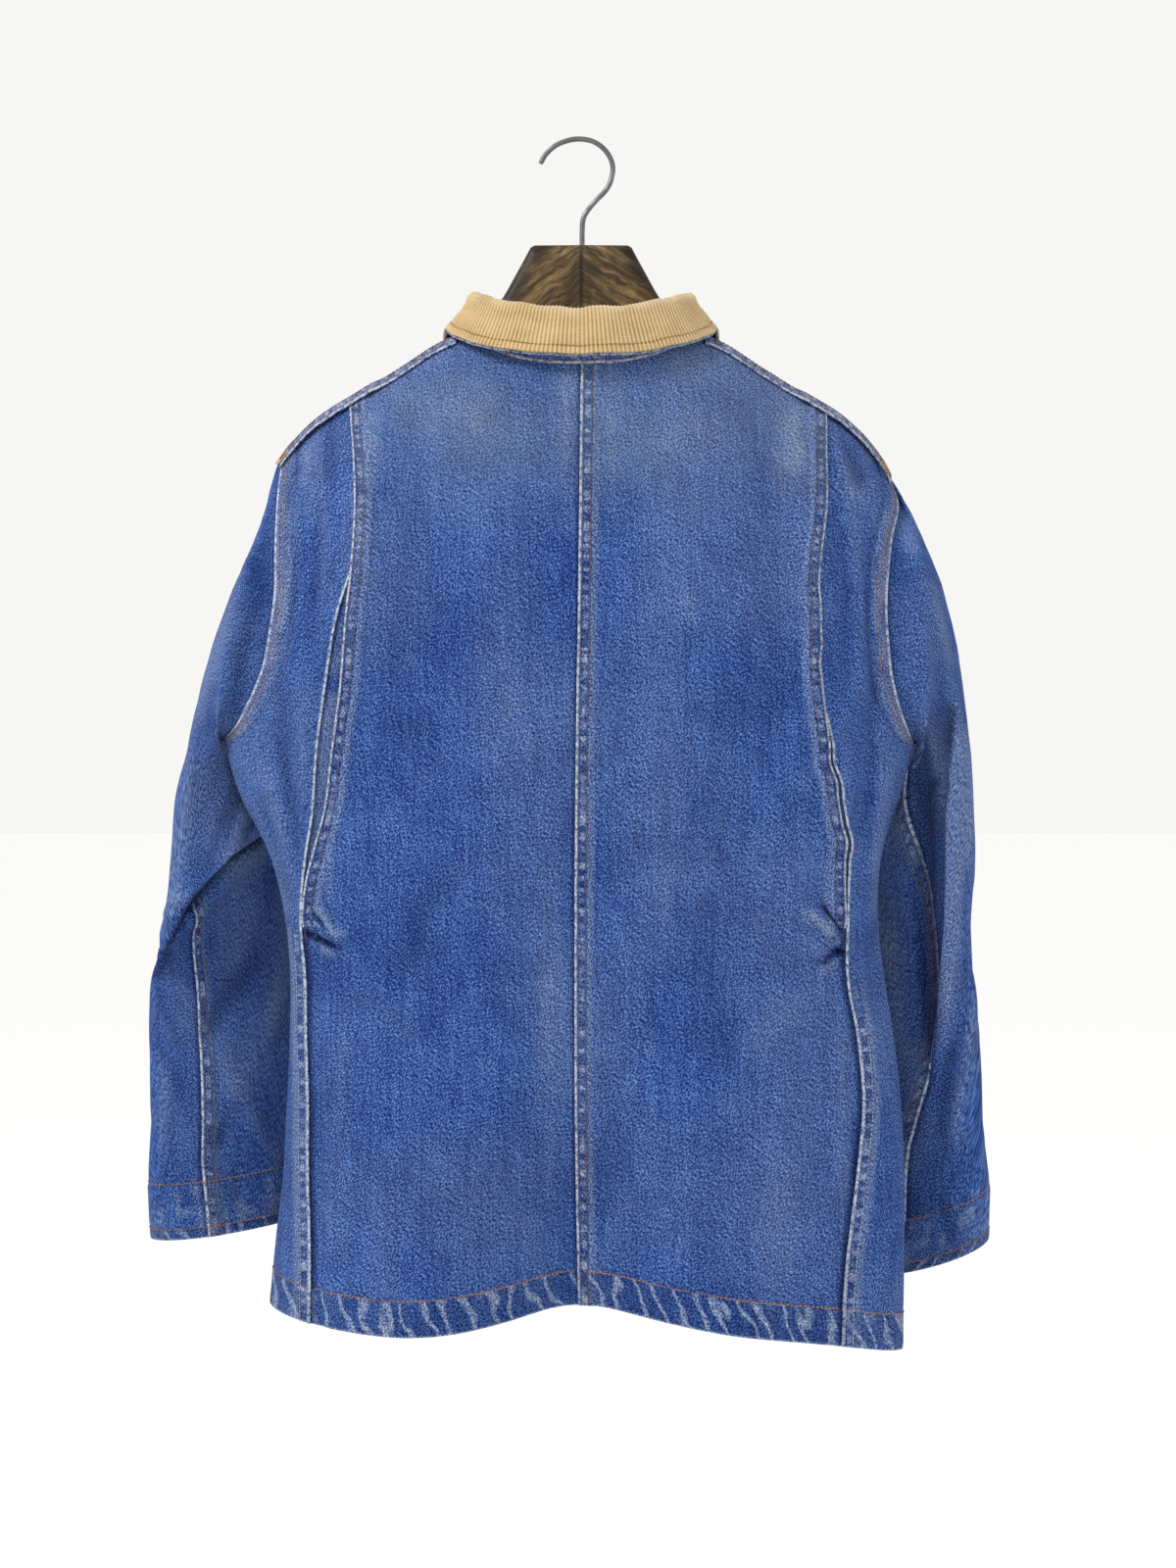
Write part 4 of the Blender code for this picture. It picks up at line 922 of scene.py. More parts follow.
def panel_cloth(side):
    """Points, maps and marks of a side panel, its heights and its distances in from the folded edge."""
    x, z = side_panel(side)
    panel = on_body(x, z, True)
    out = grid_normals(panel, flip=side < 0)
    arm = to_armhole(panel)
    from_fold = side * (x - seam_x(side, z)) - through(PLEAT, 3 if side < 0 else 4, z)
    below = z < TACK
    lift = armhole_edge(side, arm, z, 0.9, 51)
    lift = lift + 0.45 * bell(from_fold, 1.2, 1.0) + 0.8 * gathered(from_fold, z, 52) * below
    lift = lift + side_hem(x, z, 53)
    lift[UPPER_ROWS:, -1] = 0
    panel = panel + out * lift[..., None]
    inside = np.where(below | (from_fold < 2.5), np.minimum(from_fold, 0.6 * arm), 0.6 * arm)
    run = lengths(panel, 1)
    maps = cloth_maps((run - run[:, -1:], z), (inside, z), (z - z[-1], x))
    soft = creases(BACK_CREASES, x, z)
    # pale mark: wash and armhole wear, with a little painted highlight on the crease ridges; dark mark: a painted
    # shadow line just past the armhole strip's raised edge, and painted shade in the crease valleys
    marks = {
        "pale": np.clip(0.7 * wash(x, z) + armhole_wear(arm, z, 59) + 0.06 * np.clip(soft, 0, 3), 0, 1),
        "dark": np.clip(0.45 * bell(arm, 21, 2.5) + 0.14 * np.clip(-soft, 0, 4), 0, 1),
        "rope": np.where(arm < 30, 0.5, 1.0) * (0.2 + 0.8 * ease(-624, -680, z) if side > 0 else 1)}
    return panel, maps, marks, z, from_fold


def chest_cloth(side, panel_z):
    """Points, maps and marks of the front itself, its x positions and heights, and its distances in from the armhole
    and from the buttoned edge."""
    x, z = front_panel(side, panel_z)
    front = on_body(x, z, False)
    out = grid_normals(front, flip=side < 0)
    run = lengths(front, 1)
    arm = np.where(np.arange(len(z))[:, None] <= UPPER_ROWS, run, FAR)
    edge = FRONT_OVERLAP + side * (x - centre_x(z))
    lift = OVERLAP_LIFT * ease(FRONT_OVERLAP + 30, FRONT_OVERLAP + 22, edge) * (side < 0)
    lift = lift + armhole_edge(side, arm, z, 0.6, 54)
    lift = lift + (0.45 * bell(edge, 1.2, 1.0) + 0.6 * gathered(edge, z, 55)) * (side < 0)
    lift = lift + side_hem(x, z, 56)
    lift[UPPER_ROWS:, 0] = 0
    front = front + out * lift[..., None]
    rise = ease(30, 0, ridge_z(x) - z) * on_shoulder(x) * layers_over(side, x)
    rise[1:, 0] = 0
    front = front + rise[..., None] * over_ridge(x)
    maps = cloth_maps((run, z), (np.minimum(0.6 * arm, edge), z), (z - z[-1], x))
    soft = creases(FRONT_CREASES, x, z)
    # pale mark: wash and armhole wear, with a little painted highlight on the crease ridges; dark mark: painted shade
    # in the crease valleys
    marks = {
        "pale": np.clip(0.7 * wash(x + 900, z) + armhole_wear(arm, z, 60) + 0.10 * np.clip(soft, 0, 3), 0, 1),
        "dark": 0.10 * np.clip(-soft, 0, 4), "rope": np.where(arm < 30, 0.5, 1.0)}
    return front, maps, marks, x, z, arm, edge


def on_shoulder(x):
    """Which columns begin on the shoulder ridge, not in the neck."""
    return np.abs(x[0]) >= NECK_HALF - 1


def shoulder_lap(side, x, top):
    """Points, maps and marks of the strip that laps the back, from the front's top row at places x on the ridge down
    to its folded edge, and its distances in from that edge."""
    drops = np.concatenate([np.linspace(0, SHOULDER_LAP - 1.4, 9)[1:], [SHOULDER_LAP - 0.6, SHOULDER_LAP]])
    along = np.concatenate([[0], np.cumsum(np.hypot(np.diff(x), np.diff(ridge_z(x))))])
    rows = [top]
    for drop in drops:
        z = ridge_z(x) - drop
        puckers = 0.30 * uneven(along, drop, 4.5, 57) + 0.4 * bell(SHOULDER_LAP - drop, 1.3, 1.1)
        off = (LAYER + 0.4) * layers_over(side, x) + puckers * ease(0, 3, drop)
        rows.append(on_body(x, z, True) + body_normal(x, z, True) * off[:, None])
    from_edge = SHOULDER_LAP - np.concatenate([[0], drops])[:, None] + 0 * x
    along = along + 0 * from_edge
    maps = cloth_maps((along, 500 + from_edge), (from_edge, along))
    pale = np.clip(0.42 + 0.35 * uneven(along, from_edge, 6, 58), 0, 1)
    return np.stack(rows), maps, {"pale": pale, "dark": 0.0, "rope": 1.0}, from_edge


def armhole_rim(panel, front, panel_out, front_out):
    """The armhole's edge, from the ridge down the panel, under the arm and up the front: its points, the directions
    that lead out of the cloth there, and its normals."""
    down, up = slice(1, UPPER_ROWS), slice(UPPER_ROWS - 1, 0, -1)
    under = slice(UPPER_ROWS, UPPER_ROWS + 1)
    rim, normal = (np.concatenate([ahead[:1, 0], behind[down, -1], behind[under, -1], ahead[up, 0]])
                   for ahead, behind in ((front, panel), (front_out, panel_out)))
    below = slice(UPPER_ROWS + 6, UPPER_ROWS + 7)
    away = rim - np.concatenate([front[:1, 4], panel[down, -5], panel[below, -1], front[up, 4]])
    return rim, away / np.linalg.norm(away, axis=-1, keepdims=True), normal


# rows of stitches: distances in from the armhole, the side seam's fold, the buttoned edge and the shoulder lap's edge
ARMHOLE_STITCHES = (6.4, 11.4)
SIDE_STITCHES = (2.0, 8.4)
EDGE_STITCHES = {-1: (4.0, 24.0), 1: (4.0,)}
LAP_STITCHES = (1.9, 7.2)
TACK_LIFT = 2 * LAYER + 1.8  # the face of the shoulder lap off the back's own form, where the lap is thickest


def front_cloth(side):
    """Points, quads, maps and marks of a front, its panel and its shoulder lap, welded where two of them meet; the
    armhole's edge with its outward directions and normals; and the lines of the stitches."""
    panel, panel_maps, panel_marks, pz, from_fold = panel_cloth(side)
    front, front_maps, front_marks, fx, fz, arm, edge = chest_cloth(side, pz)
    last = np.flatnonzero(on_shoulder(fx))[-1] + 1
    lap, lap_maps, lap_marks, from_edge = shoulder_lap(side, fx[0, :last], front[0, :last])
    rows, columns = panel.shape[:2]
    grids = (panel, front, lap)
    firsts = (0, rows * columns, rows * columns + rows * fx.shape[1])
    turned = side < 0
    quads = np.concatenate([grid_quads(*grid.shape[:2], first=first, flip=flip)
                            for grid, first, flip in zip(grids, firsts, (turned, turned, not turned))])
    points = np.concatenate([grid.reshape(-1, 3) for grid in grids])
    same = np.arange(len(points))
    low = np.arange(UPPER_ROWS, rows)
    same[firsts[1] + low * fx.shape[1]] = low * columns + columns - 1
    same[firsts[2] + np.arange(last)] = firsts[1] + np.arange(last)
    used, quads = np.unique(same[quads], return_inverse=True)

    def joined(values, *tail):
        """Each value of the three grids end to end, for the points that are used."""
        return {label: np.concatenate([np.broadcast_to(one[label], grid.shape[:2] + tail).reshape(-1, *tail)
                                       for one, grid in zip(values, grids)])[used] for label in values[0]}

    maps = joined((panel_maps, front_maps, lap_maps), 2)
    marks = joined((panel_marks, front_marks, lap_marks))
    panel_out, front_out = grid_normals(panel, flip=turned), grid_normals(front, flip=turned)
    lap_rows = lap.transpose(1, 0, 2)[:, ::-1]
    lap_out = body_normal(lap[..., 0], lap[..., 2], True).transpose(1, 0, 2)[:, ::-1]
    beside_arm = slice(2, UPPER_ROWS - 3)
    skirt = slice(UPPER_ROWS + WAIST_ROWS + (0 if side < 0 else SKIRT_ROWS // 6), rows)
    lines = {
        "arm": [line_on(*grid, at, beside_arm) for grid in (
            (panel[:, ::-1], panel_out[:, ::-1], to_armhole(panel)[:, ::-1]), (front, front_out, arm))
            for at in ARMHOLE_STITCHES],
        "side": [line_on(panel, panel_out, from_fold, at, skirt) for at in SIDE_STITCHES],
        "hem": [rows_at_height(panel[:, 2:], panel_out[:, 2:], (pz - pz[-1])[:, 2:], HEM_STITCH),
                rows_at_height(front[:, :-1], front_out[:, :-1], (fz - fz[-1])[:, :-1], HEM_STITCH)],
        "edge": [line_on(front[:, ::-1], front_out[:, ::-1], edge[:, ::-1], at, slice(3, rows - 4))
                 for at in EDGE_STITCHES[side]],
        "lap": [line_on(lap_rows, lap_out, from_edge.T[:, ::-1], at) for at in LAP_STITCHES],
    }
    return points[used], quads.reshape(-1, 4), maps, marks, armhole_rim(panel, front, panel_out, front_out), lines


armholes = {}
for side, word in SIDES:
    points, quads, maps, marks, armholes[side], lines = front_cloth(side)
    piece = cloth_piece(f"front_{word}", points, quads, CLOTH, maps, marks, body_denim)
    stitch_rows(f"armhole_{word}_stitches", lines["arm"], brown_thread, thick=0.36)
    stitch_rows(f"front_{word}_stitches", lines["hem"] + lines["edge"] + lines["lap"], brown_thread)
    stitch_rows(f"side_{word}_stitches", lines["side"], pale_thread)


def bar_tack(name, x0, z0, x1, z1):
    """A bar tack on the back: two close rows of stitches across the line between two places."""
    t = np.linspace(0, 1, 12)
    x, z = x0 + (x1 - x0) * t, z0 + (z1 - z0) * t
    square = np.array([-(z1 - z0), x1 - x0]) / np.hypot(x1 - x0, z1 - z0)
    lines = []
    for away in (-0.95, 0.95):
        at_x, at_z = x + square[0] * away, z + square[1] * away
        normal = body_normal(at_x, at_z, True)
        lines.append((on_body(at_x, at_z, True) + normal * TACK_LIFT, normal))
    stitch_rows(name, lines, gold_thread, pitch=0.9, length=2.2, turned=True)


gold_thread = thread("gold_thread", (0.60, 0.30, 0.06, 1), (0.42, 0.20, 0.05, 1))
bar_tack("shoulder_tack_left", -233.5, -249, -226.5, -240)
bar_tack("shoulder_tack_right", 236, -256, 229.5, -247)

# ---- pleats ----
# The strip that lets the back move: one layer goes in under the back's edge, turns, and comes out again under itself.
# Between the back's edge and the side panel's fold a narrow channel of it shows, washed unevenly and darkened all
# over with painted shade.
PLEAT_WALL = 1.0
INWARD = np.array([(-220, 40), (-450, 36), (-560, 24), (-600, 16)], float)  # height, how far the strip goes in


def pleat_cloth(side):
    """A grid whose rows go down from the shoulder and whose columns follow the fold: in, round and out again."""
    z = row_heights(ridge_z(seam_x(side, PLEAT_TOP))[None] - 2, side, -900.0)[8:UPPER_ROWS + WAIST_ROWS - 2]
    inward = through(INWARD, 1, z)
    outward = np.maximum(through(PLEAT, 3 if side < 0 else 4, z), 0) + 7
    top = LAYER + 0.7
    t = np.linspace(0, 1, 22)
    turn = np.linspace(0, np.pi, 6)[1:-1]
    reach = np.concatenate([outward + (-inward - outward) * t, -inward - 0.7 * np.sin(turn) + 0 * z,
                            -inward + (outward - 2 + inward) * t[:12] / t[11]], axis=1)
    under = np.concatenate([top + 0 * t, top + 0.7 * (1 - np.cos(turn)), top + 1.4 + 0 * t[:12]])
    x = seam_x(side, z) + side * reach
    z = z + 0 * x
    wave = 0.5 * uneven(z, reach, 26, 61) * (np.arange(x.shape[1]) < 26)
    points = on_body(x, z, True) - body_normal(x, z, True) * (under + 0.15 * wave)[..., None]
    maps = cloth_maps((lengths(points, 1) + 300, z), (FAR, z))
    # a flat darkening of the whole strip: painted shade of the recess it lies in
    marks = {"pale": np.clip(0.22 + 0.3 * uneven(z, reach, 14, 62), 0, 1), "dark": 0.25}
    return points, maps, marks


for side, word in SIDES:
    points, maps, marks = pleat_cloth(side)
    quads = grid_quads(*points.shape[:2], flip=side > 0)
    piece = cloth_piece(f"pleat_{word}", points, quads, PLEAT_WALL, maps, marks, body_denim)

# ---- sleeves ----
# One piece each, wrapped to a felled seam that comes down the back of the arm. The head goes under the armhole's
# folded edge, the elbow folds over on the left, and the cuff is turned in and stitched twice.
CUFF = 43.0
PROUD_REACH, BACK_REACH = 24, 40  # how soon the two sides of a sharp fold settle
# rings: outer x, y, z, inner x, y, z, how far the back and the front stand off the line between, angle of the seam
SLEEVE = {
    -1: np.array([
        (-252, 19, -300, -283, 8, -468, 44, 46, 165), (-274, 19, -352, -282, 22, -478, 44, 46, 150),
        (-287, 18, -389, -278, 36, -486, 42, 46, 135), (-297, 17, -429, -270, 48, -493, 40, 46, 120),
        (-307, 16, -471, -261, 58, -499, 38, 46, 105), (-316, 16, -508, -251, 66, -503, 36, 45, 92),
        (-319, 16, -548, -242, 72, -506, 35, 44, 80), (-324, 17, -595, -235, 77, -509, 36, 43, 70),
        (-332, 18, -634, -229, 81, -513, 38, 42, 71), (-336, 20, -650, -229, 84, -534, 28, 42, 70),
        (-338, 22, -676, -227, 86, -570, 22, 40, 69), (-338, 22, -714, -224, 86, -630, 20, 36, 70),
        (-337, 18, -760, -220, 85, -705, 22, 33, 71), (-338, 14, -806, -216, 83, -785, 24, 30, 72),
        (-335, 12, -849, -213, 82, -838, 24, 28, 73),
    ], float),
    1: np.array([
        (263, 19, -296, 264, 8, -472, 44, 46, 165), (278, 18, -330, 262, 22, -481, 44, 46, 155),
        (287, 17, -362, 257, 36, -489, 42, 46, 145), (295, 16, -398, 250, 48, -496, 40, 46, 137),
        (301, 15, -445, 243, 58, -504, 37, 45, 128), (303, 14, -495, 236, 66, -516, 34, 44, 118),
        (305, 14, -556, 229, 73, -540, 30, 42, 98), (304, 15, -619, 223, 79, -585, 27, 40, 76),
        (308, 16, -675, 218, 83, -640, 26, 37, 71), (313, 15, -731, 215, 85, -700, 25, 34, 79),
        (317, 13, -790, 213, 85, -765, 25, 31, 96), (318, 12, -812, 213, 84, -832, 25, 29, 100),
        (317, 12, -849, 214, 82, -888, 24, 28, 105),
    ], float),
}
# creases of the sleeves' backs: from x, z to x, z, half width, height
SLEEVE_CREASES = {
    -1: np.array([
        (-252, -300, -296, -450, 7, 2.6), (-240, -330, -268, -450, 6, -2.2), (-246, -420, -290, -560, 9, 2.4),
        (-262, -470, -300, -600, 8, -2.4), (-256, -500, -280, -560, 6, 2.2), (-300, -470, -316, -600, 7, 1.8),
        (-274, -560, -330, -622, 6, -3.0), (-258, -548, -326, -604, 6, 2.8), (-240, -520, -290, -590, 7, 2.0),
        (-250, -620, -300, -700, 11, -3.4), (-232, -600, -250, -700, 8, 2.2), (-290, -700, -240, -800, 10, 2.0),
        (-322, -680, -326, -800, 7, 1.6), (-262, -740, -300, -800, 8, -1.8), (-330, -690, -300, -760, 7, -1.6),
        (-250, -820, -240, -846, 6, 1.6), (-300, -812, -292, -848, 6, 1.8), (-270, -806, -268, -846, 5, -1.4),
    ], float),
    1: np.array([
        (248, -290, 286, -420, 7, 2.6), (258, -320, 280, -440, 6, -2.2), (262, -430, 298, -560, 8, 1.8),
        (286, -420, 300, -540, 6, 2.0), (262, -470, 270, -700, 8, -6.0), (288, -456, 288, -700, 7, 4.6),
        (258, -505, 280, -492, 4, -2.6), (250, -520, 262, -560, 6, 2.4), (300, -560, 296, -760, 6, -1.4),
        (298, -632, 279, -780, 6, -3.2), (306, -640, 290, -780, 6, 2.4), (240, -600, 250, -740, 9, 2.2),
        (230, -640, 262, -780, 8, -1.8), (262, -700, 250, -830, 8, 2.0), (300, -790, 306, -850, 6, 1.6),
        (240, -840, 262, -884, 6, 1.8), (276, -812, 290, -856, 6, -1.6), (224, -760, 226, -860, 5, 1.4),
    ], float),
}
# sharp folds of the sleeves: x, z of places along each; how far the cloth stands proud on one side and back on the
# other
LEDGES = {
    -1: (np.array([(-236, -520), (-252, -536), (-274, -553), (-305, -590), (-320, -621), (-338, -642)], float),
         5.0, 12.0),
    1: (np.array([(287, -440), (283.5, -520), (284, -570), (283, -610), (279.5, -650), (274, -712)], float),
        5.0, 7.0),
}


def ledge(places, x, z):
    """Distance from a line of places in the view from behind, positive on one side and negative on the other."""
    best = np.full(x.shape, 1e9)
    signed = np.zeros(x.shape)
    for (a, b), (c, d) in zip(places[:-1], places[1:]):
        length = np.hypot(c - a, d - b)
        t = np.clip(((x - a) * (c - a) + (z - b) * (d - b)) / length ** 2, 0, 1)
        away = np.hypot(x - a - t * (c - a), z - b - t * (d - b))
        side = np.sign((x - a) * (d - b) - (z - b) * (c - a))
        signed = np.where(away < best, away * side, signed)
        best = np.minimum(best, away)
    return signed


def splined(stations, at):
    """Smooth rows through rows of points: the cubic of through(), over the mean distance between the rows."""
    gaps = np.linalg.norm(np.diff(stations, axis=0), axis=-1).mean(axis=1)
    place = np.concatenate([[0], np.cumsum(gaps)])
    slope = np.gradient(stations, place, axis=0)
    at = at * place[-1]
    k = np.clip(np.searchsorted(place, at, side="right") - 1, 0, len(place) - 2)
    span = place[k + 1] - place[k]
    t, span = ((at - place[k]) / span)[:, None, None], span[:, None, None]
    return cubic(t, span, stations[k], stations[k + 1], slope[k], slope[k + 1])


def sleeve_rings(side, bend):
    """Rings of points round the arm: three that go under the armhole's edge and out of it, then the table's."""
    table = SLEEVE[side]
    steps = np.linspace(0, 2 * np.pi, len(armholes[side][0]) + 1)
    turn = (np.radians(table[0, 8] + 6) + bend) % (2 * np.pi)
    start, out, up = (along_line(np.concatenate([values, values[:1]]), steps, turn) for values in armholes[side])
    rings = [start - out * 3.2 - up * 2.1, start + out * 0.4 - up * 2.0, start + out * 3.6 - up * 1.4]
    for row in table:
        outer, inner, (back, front, seam) = row[:3], row[3:6], row[6:]
        sag = (5 if side < 0 else 9) * ease(-560, -860, (outer[2] + inner[2]) / 2)
        turn = np.radians(seam) + bend
        ring = (outer + inner) / 2 + (outer - inner) / 2 * np.cos(turn)[:, None]
        ring[:, 1] -= np.where(np.sin(turn) > 0, back, front) * np.sin(turn)
        ring[:, 2] -= sag * np.sin(turn)
        rings.append(ring)
    return np.stack(rings)


def sleeve_cloth(side):
    """Points, maps and marks of a sleeve, its distances from the seam and above the cuff, and down the arm. Columns
    lie at even steps of u round the arm from the seam, drawn together at it by u(0.35 + 0.65 (2|u|)^1.5)."""
    around, count = ((216, 150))
    u = np.arange(around) / around - 0.5
    bend = 2 * np.pi * u * (0.35 + 0.65 * (2 * np.abs(u)) ** 1.5)
    share = np.linspace(0, 1, count)
    share = np.concatenate([np.linspace(0, share[3], 10)[:-1], share[3:-2], np.linspace(share[-3], 1, 7)])
    points = splined(sleeve_rings(side, bend), share)
    out = grid_normals(points, flip=side > 0, closed=True)
    run = lengths(points, 0)
    height = run[-1] - run
    across = lengths(points, 1)
    from_seam = across - across[:, around // 2:around // 2 + 1]
    x, z = points[..., 0], points[..., 2]
    behind = ease(0.1, 0.6, -out[..., 1])
    clear = ease(4, 26, run)
    lift = 1.3 * creases(SLEEVE_CREASES[side], x, z) * behind
    lift = lift + 0.8 * creases(SLEEVE_CREASES[side], x - 6 * side, z + 14) * (1 - behind)
    soft = lift + 1.1 * uneven(from_seam, run * 0.6, 44, 71 + side) + 0.45 * uneven(from_seam, run, 17, 73 + side)
    places, proud, back = LEDGES[side]
    off = -side * ledge(places, x, z)
    ends = ease(places[-1, 1] - 26, places[-1, 1] + 14, z) * ease(places[0, 1] + 34, places[0, 1] - 20, z) * behind
    step = np.where(off > 0, proud * np.exp(-np.abs(off) / PROUD_REACH), -back * np.exp(-np.abs(off) / BACK_REACH))
    lift = soft + step * np.clip(np.abs(off) / 1.3, 0, 1) * ends * ease(0.3, 0.85, -out[..., 1])
    shade = 0.85 * np.exp(-np.maximum(-off, 0) / 9) * (off < 0.6) * ends
    seam_shown = ease(0.5, -2, off) if side < 0 else 1.0
    lift = lift * clear * ease(0, 60, height + 20)
    raised = LAYER * ease(-0.3, 0.3, from_seam) * ease(LAP + 3, LAP, from_seam)
    raised = raised + 0.8 * gathered(from_seam, run, 75) + 0.4 * bell(from_seam, 1.2, 1.0)
    lift = lift + raised * clear * seam_shown
    ropes = uneven(from_seam + 0.3 * height, height * 0.3, 6.0, 76)
    lift = lift + 0.7 * ease(CUFF + 1, CUFF - 3, height) - 0.5 * bell(height, CUFF, 1.6)
    lift = lift + (0.3 + 0.55 * ropes) * ease(10, 6, height) * ease(-1, 3, height)
    lift = lift - 0.4 * bell(height, 8, 1.3)
    points = points + out * lift[..., None]
    maps = cloth_maps((from_seam - from_seam.min(), 1200 - run), (from_seam, run), (height, from_seam))
    cuff = 0.34 * ease(CUFF + 8, CUFF - 6, height) * ease(-0.1, 0.8, uneven(from_seam, height, 7, 78))
    # pale mark: wear at the cuff and uneven washing, with a painted highlight where the creases stand proud
    worn = cuff + np.clip(0.09 + 0.30 * np.clip(soft - 0.6, 0, 3) / 3 + 0.14 * uneven(from_seam, run, 50, 77), 0, 0.6)
    # dark mark, all painted shade: in the crease valleys, at the head under the armhole's edge, and under the elbow's
    # fold
    dark = np.clip(-0.12 - soft * 0.16, 0, 0.6) + 0.75 * ease(9, 4.5, run) + 0.25 * ease(24, 6, run) + shade
    marks = {"pale": worn, "dark": np.clip(dark, 0, 1), "rope": 0.9 * seam_shown}
    return points, maps, marks, from_seam, height, run


# rows of stitches: distances in from the arm seam's fold, and heights above the cuff's edge
ARM_SEAM_STITCHES = (2.3, 8.4)
CUFF_STITCHES = (CUFF, 8.0)
for side, word in SIDES:
    points, maps, marks, from_seam, height, run = sleeve_cloth(side)
    girth = float(np.ptp(maps["weave"][..., 0], axis=1).mean())
    wall = np.where(run < 8, 0.9, np.where(height < CUFF - 2, 2.0, CLOTH))
    quads = grid_quads(*points.shape[:2], flip=side > 0, closed=True)
    paint = denim(f"sleeve_{word}_denim", 9.0)
    piece = cloth_piece(f"sleeve_{word}", points, quads, wall, maps, marks, paint, wrap=girth)
    out = grid_normals(points, flip=side > 0, closed=True)
    lines = [line_on(points, out, from_seam, at, slice(12, None)) for at in ARM_SEAM_STITCHES]
    if side < 0:
        below = [ledge(LEDGES[side][0], line[:, 0], line[:, 2]) < -1.5 for line, _ in lines]
        lines = [(line[kept], normal[kept]) for (line, normal), kept in zip(lines, below)]
    stitch_rows(f"arm_seam_{word}_stitches", lines, faded_thread)
    whole = [np.concatenate([grid, grid[:, :1]], axis=1) for grid in (points, out, height)]
    stitch_rows(f"sleeve_{word}_stitches", [rows_at_height(*whole, at) for at in CUFF_STITCHES], brown_thread)

# ---- collar ----
# A tan corduroy top collar with upright wales, turned over a denim under collar and topstitched near its edge. Its
# roll is worn and a little wavy.
CORD = 1.6
WALE = 2.9
COLLAR_STITCH = 6.4
NECK_CENTRE_Y = 4.0
COLLAR_END = 171  # degrees round the neck from the centre back
# angle from the centre back, outward and upward distances of the roll and of the edge from the neck seam, sideways
# lean
COLLAR = np.array([
    (0, -4, 40, 15, 3, 0), (45, -6, 37, 15, 2, 0), (75, -10, 32, 13, 1, 0), (90, -11, 30, 13, 3, 0),
    (110, -10, 27, 20, 1, 1), (135, -7, 21, 23, -24, 4), (155, -4, 15, 19, -40, 10), (171, -3, 12, 14, -54, 22),
], float)


def neck_seam(turn):
    """Points of the neck seam at angles round the neck from the centre back, in degrees."""
    x = NECK_HALF * np.sin(np.radians(turn))
    back = np.abs(turn) <= 90
    z = np.where(back, through(BACK_NECK, 1, np.abs(x)), through(FRONT_NECK, 1, np.abs(x)))
    return np.stack([x, np.where(back, back_y(x, z), front_y(x, z)), z], axis=-1)


def collar_rows(turn, rows):
    """The collar's section at each angle: from inside the neck seam up the stand, over the roll and down to the edge,
    as smooth rows through nine steps."""
    seam = neck_seam(turn)
    outward = seam * (1, 1, 0) - (0, NECK_CENTRE_Y, 0)
    outward /= np.linalg.norm(outward, axis=-1, keepdims=True)
    size = np.abs(turn)
    roll_r, roll_h, edge_r, edge_h, lean = (through(COLLAR, k, size) for k in range(1, 6))
    base = 1.2 + 1.8 * bell(size, 90, 12) + 1.6 * ease(95, 115, size)
    wavy = 1.3 * uneven(turn, 0.0, 13, 81) + 0.8 * uneven(turn, 0.0, 5, 82)
    roll_h = roll_h + wavy * 0.8
    steps = [
        (-2.8 + 0 * roll_r, base - 5.5), (0.5 * roll_r - 1.2, 0.5 * roll_h), (roll_r - 0.6, roll_h - 5),
        (roll_r + 0.9, roll_h - 1.5), (roll_r + 3.6, roll_h), (roll_r + 6.3, roll_h - 1.5), (roll_r + 8, roll_h - 6),
        (0.45 * (roll_r + 8) + 0.55 * edge_r, 0.45 * (roll_h - 6) + 0.55 * edge_h), (edge_r, edge_h + 0.5 * wavy),
    ]
    stations = []
    for k, (out, up) in enumerate(steps):
        row = seam + outward * out[:, None]
        row[:, 2] += up
        row[:, 0] += np.sign(turn) * lean * max(0, k - 6) / 2
        stations.append(row)
    return splined(np.stack(stations), rows)


def corduroy():
    """Tan corduroy: pale worn tops and brown valleys between the wales, with a soft pile, darker in worn patches."""
    paint, tree, shader = fresh_paint("tan_corduroy", Roughness=0.92, Specular_IOR_Level=0.12, Sheen_Weight=0.35)
    weave = wire(tree, "UVMap", {"uv_map": "weave"}).outputs[0]
    across = wire(tree, "SeparateXYZ", i0=weave).outputs[0]
    wave = math_of("COSINE", times(across, 2 * np.pi / WALE))
    pile = grain_of(stretched(weave, 1.6, 0.9), 1.0, 3.0, 0.65)
    patch = grain_of(stretched(weave, 0.05, 0.08), 1.0, 3.0, 0.6)
    tone = plus(times(wave, 0.16), times(pile, 0.72), times(patch, 0.35))
    tan = ramp_of(tone, (0.22, (0.128, 0.074, 0.024, 1)), (0.86, (0.60, 0.455, 0.245, 1)),
                  (0.54, (0.43, 0.295, 0.130, 1)))
    rub = wire(tree, "Attribute", {"attribute_name": "pale"}).outputs["Fac"]
    tree.links.new(blend_of(rub, tan, (0.56, 0.45, 0.29, 1)), shader["Base Color"])
    tree.links.new(bump_of(pile, 0.6, 0.0006), shader["Normal"])
    return paint


def collar_turns(step):
    """Angles at even steps of distance along the collar's roll, and the distance along it at each."""
    coarse = np.linspace(-COLLAR_END, COLLAR_END, 400)
    run = lengths(collar_rows(coarse, np.array([0.5])), 1)[0]
    even = np.linspace(0, run[-1], int(run[-1] / step))
    return np.interp(even, run, coarse), even


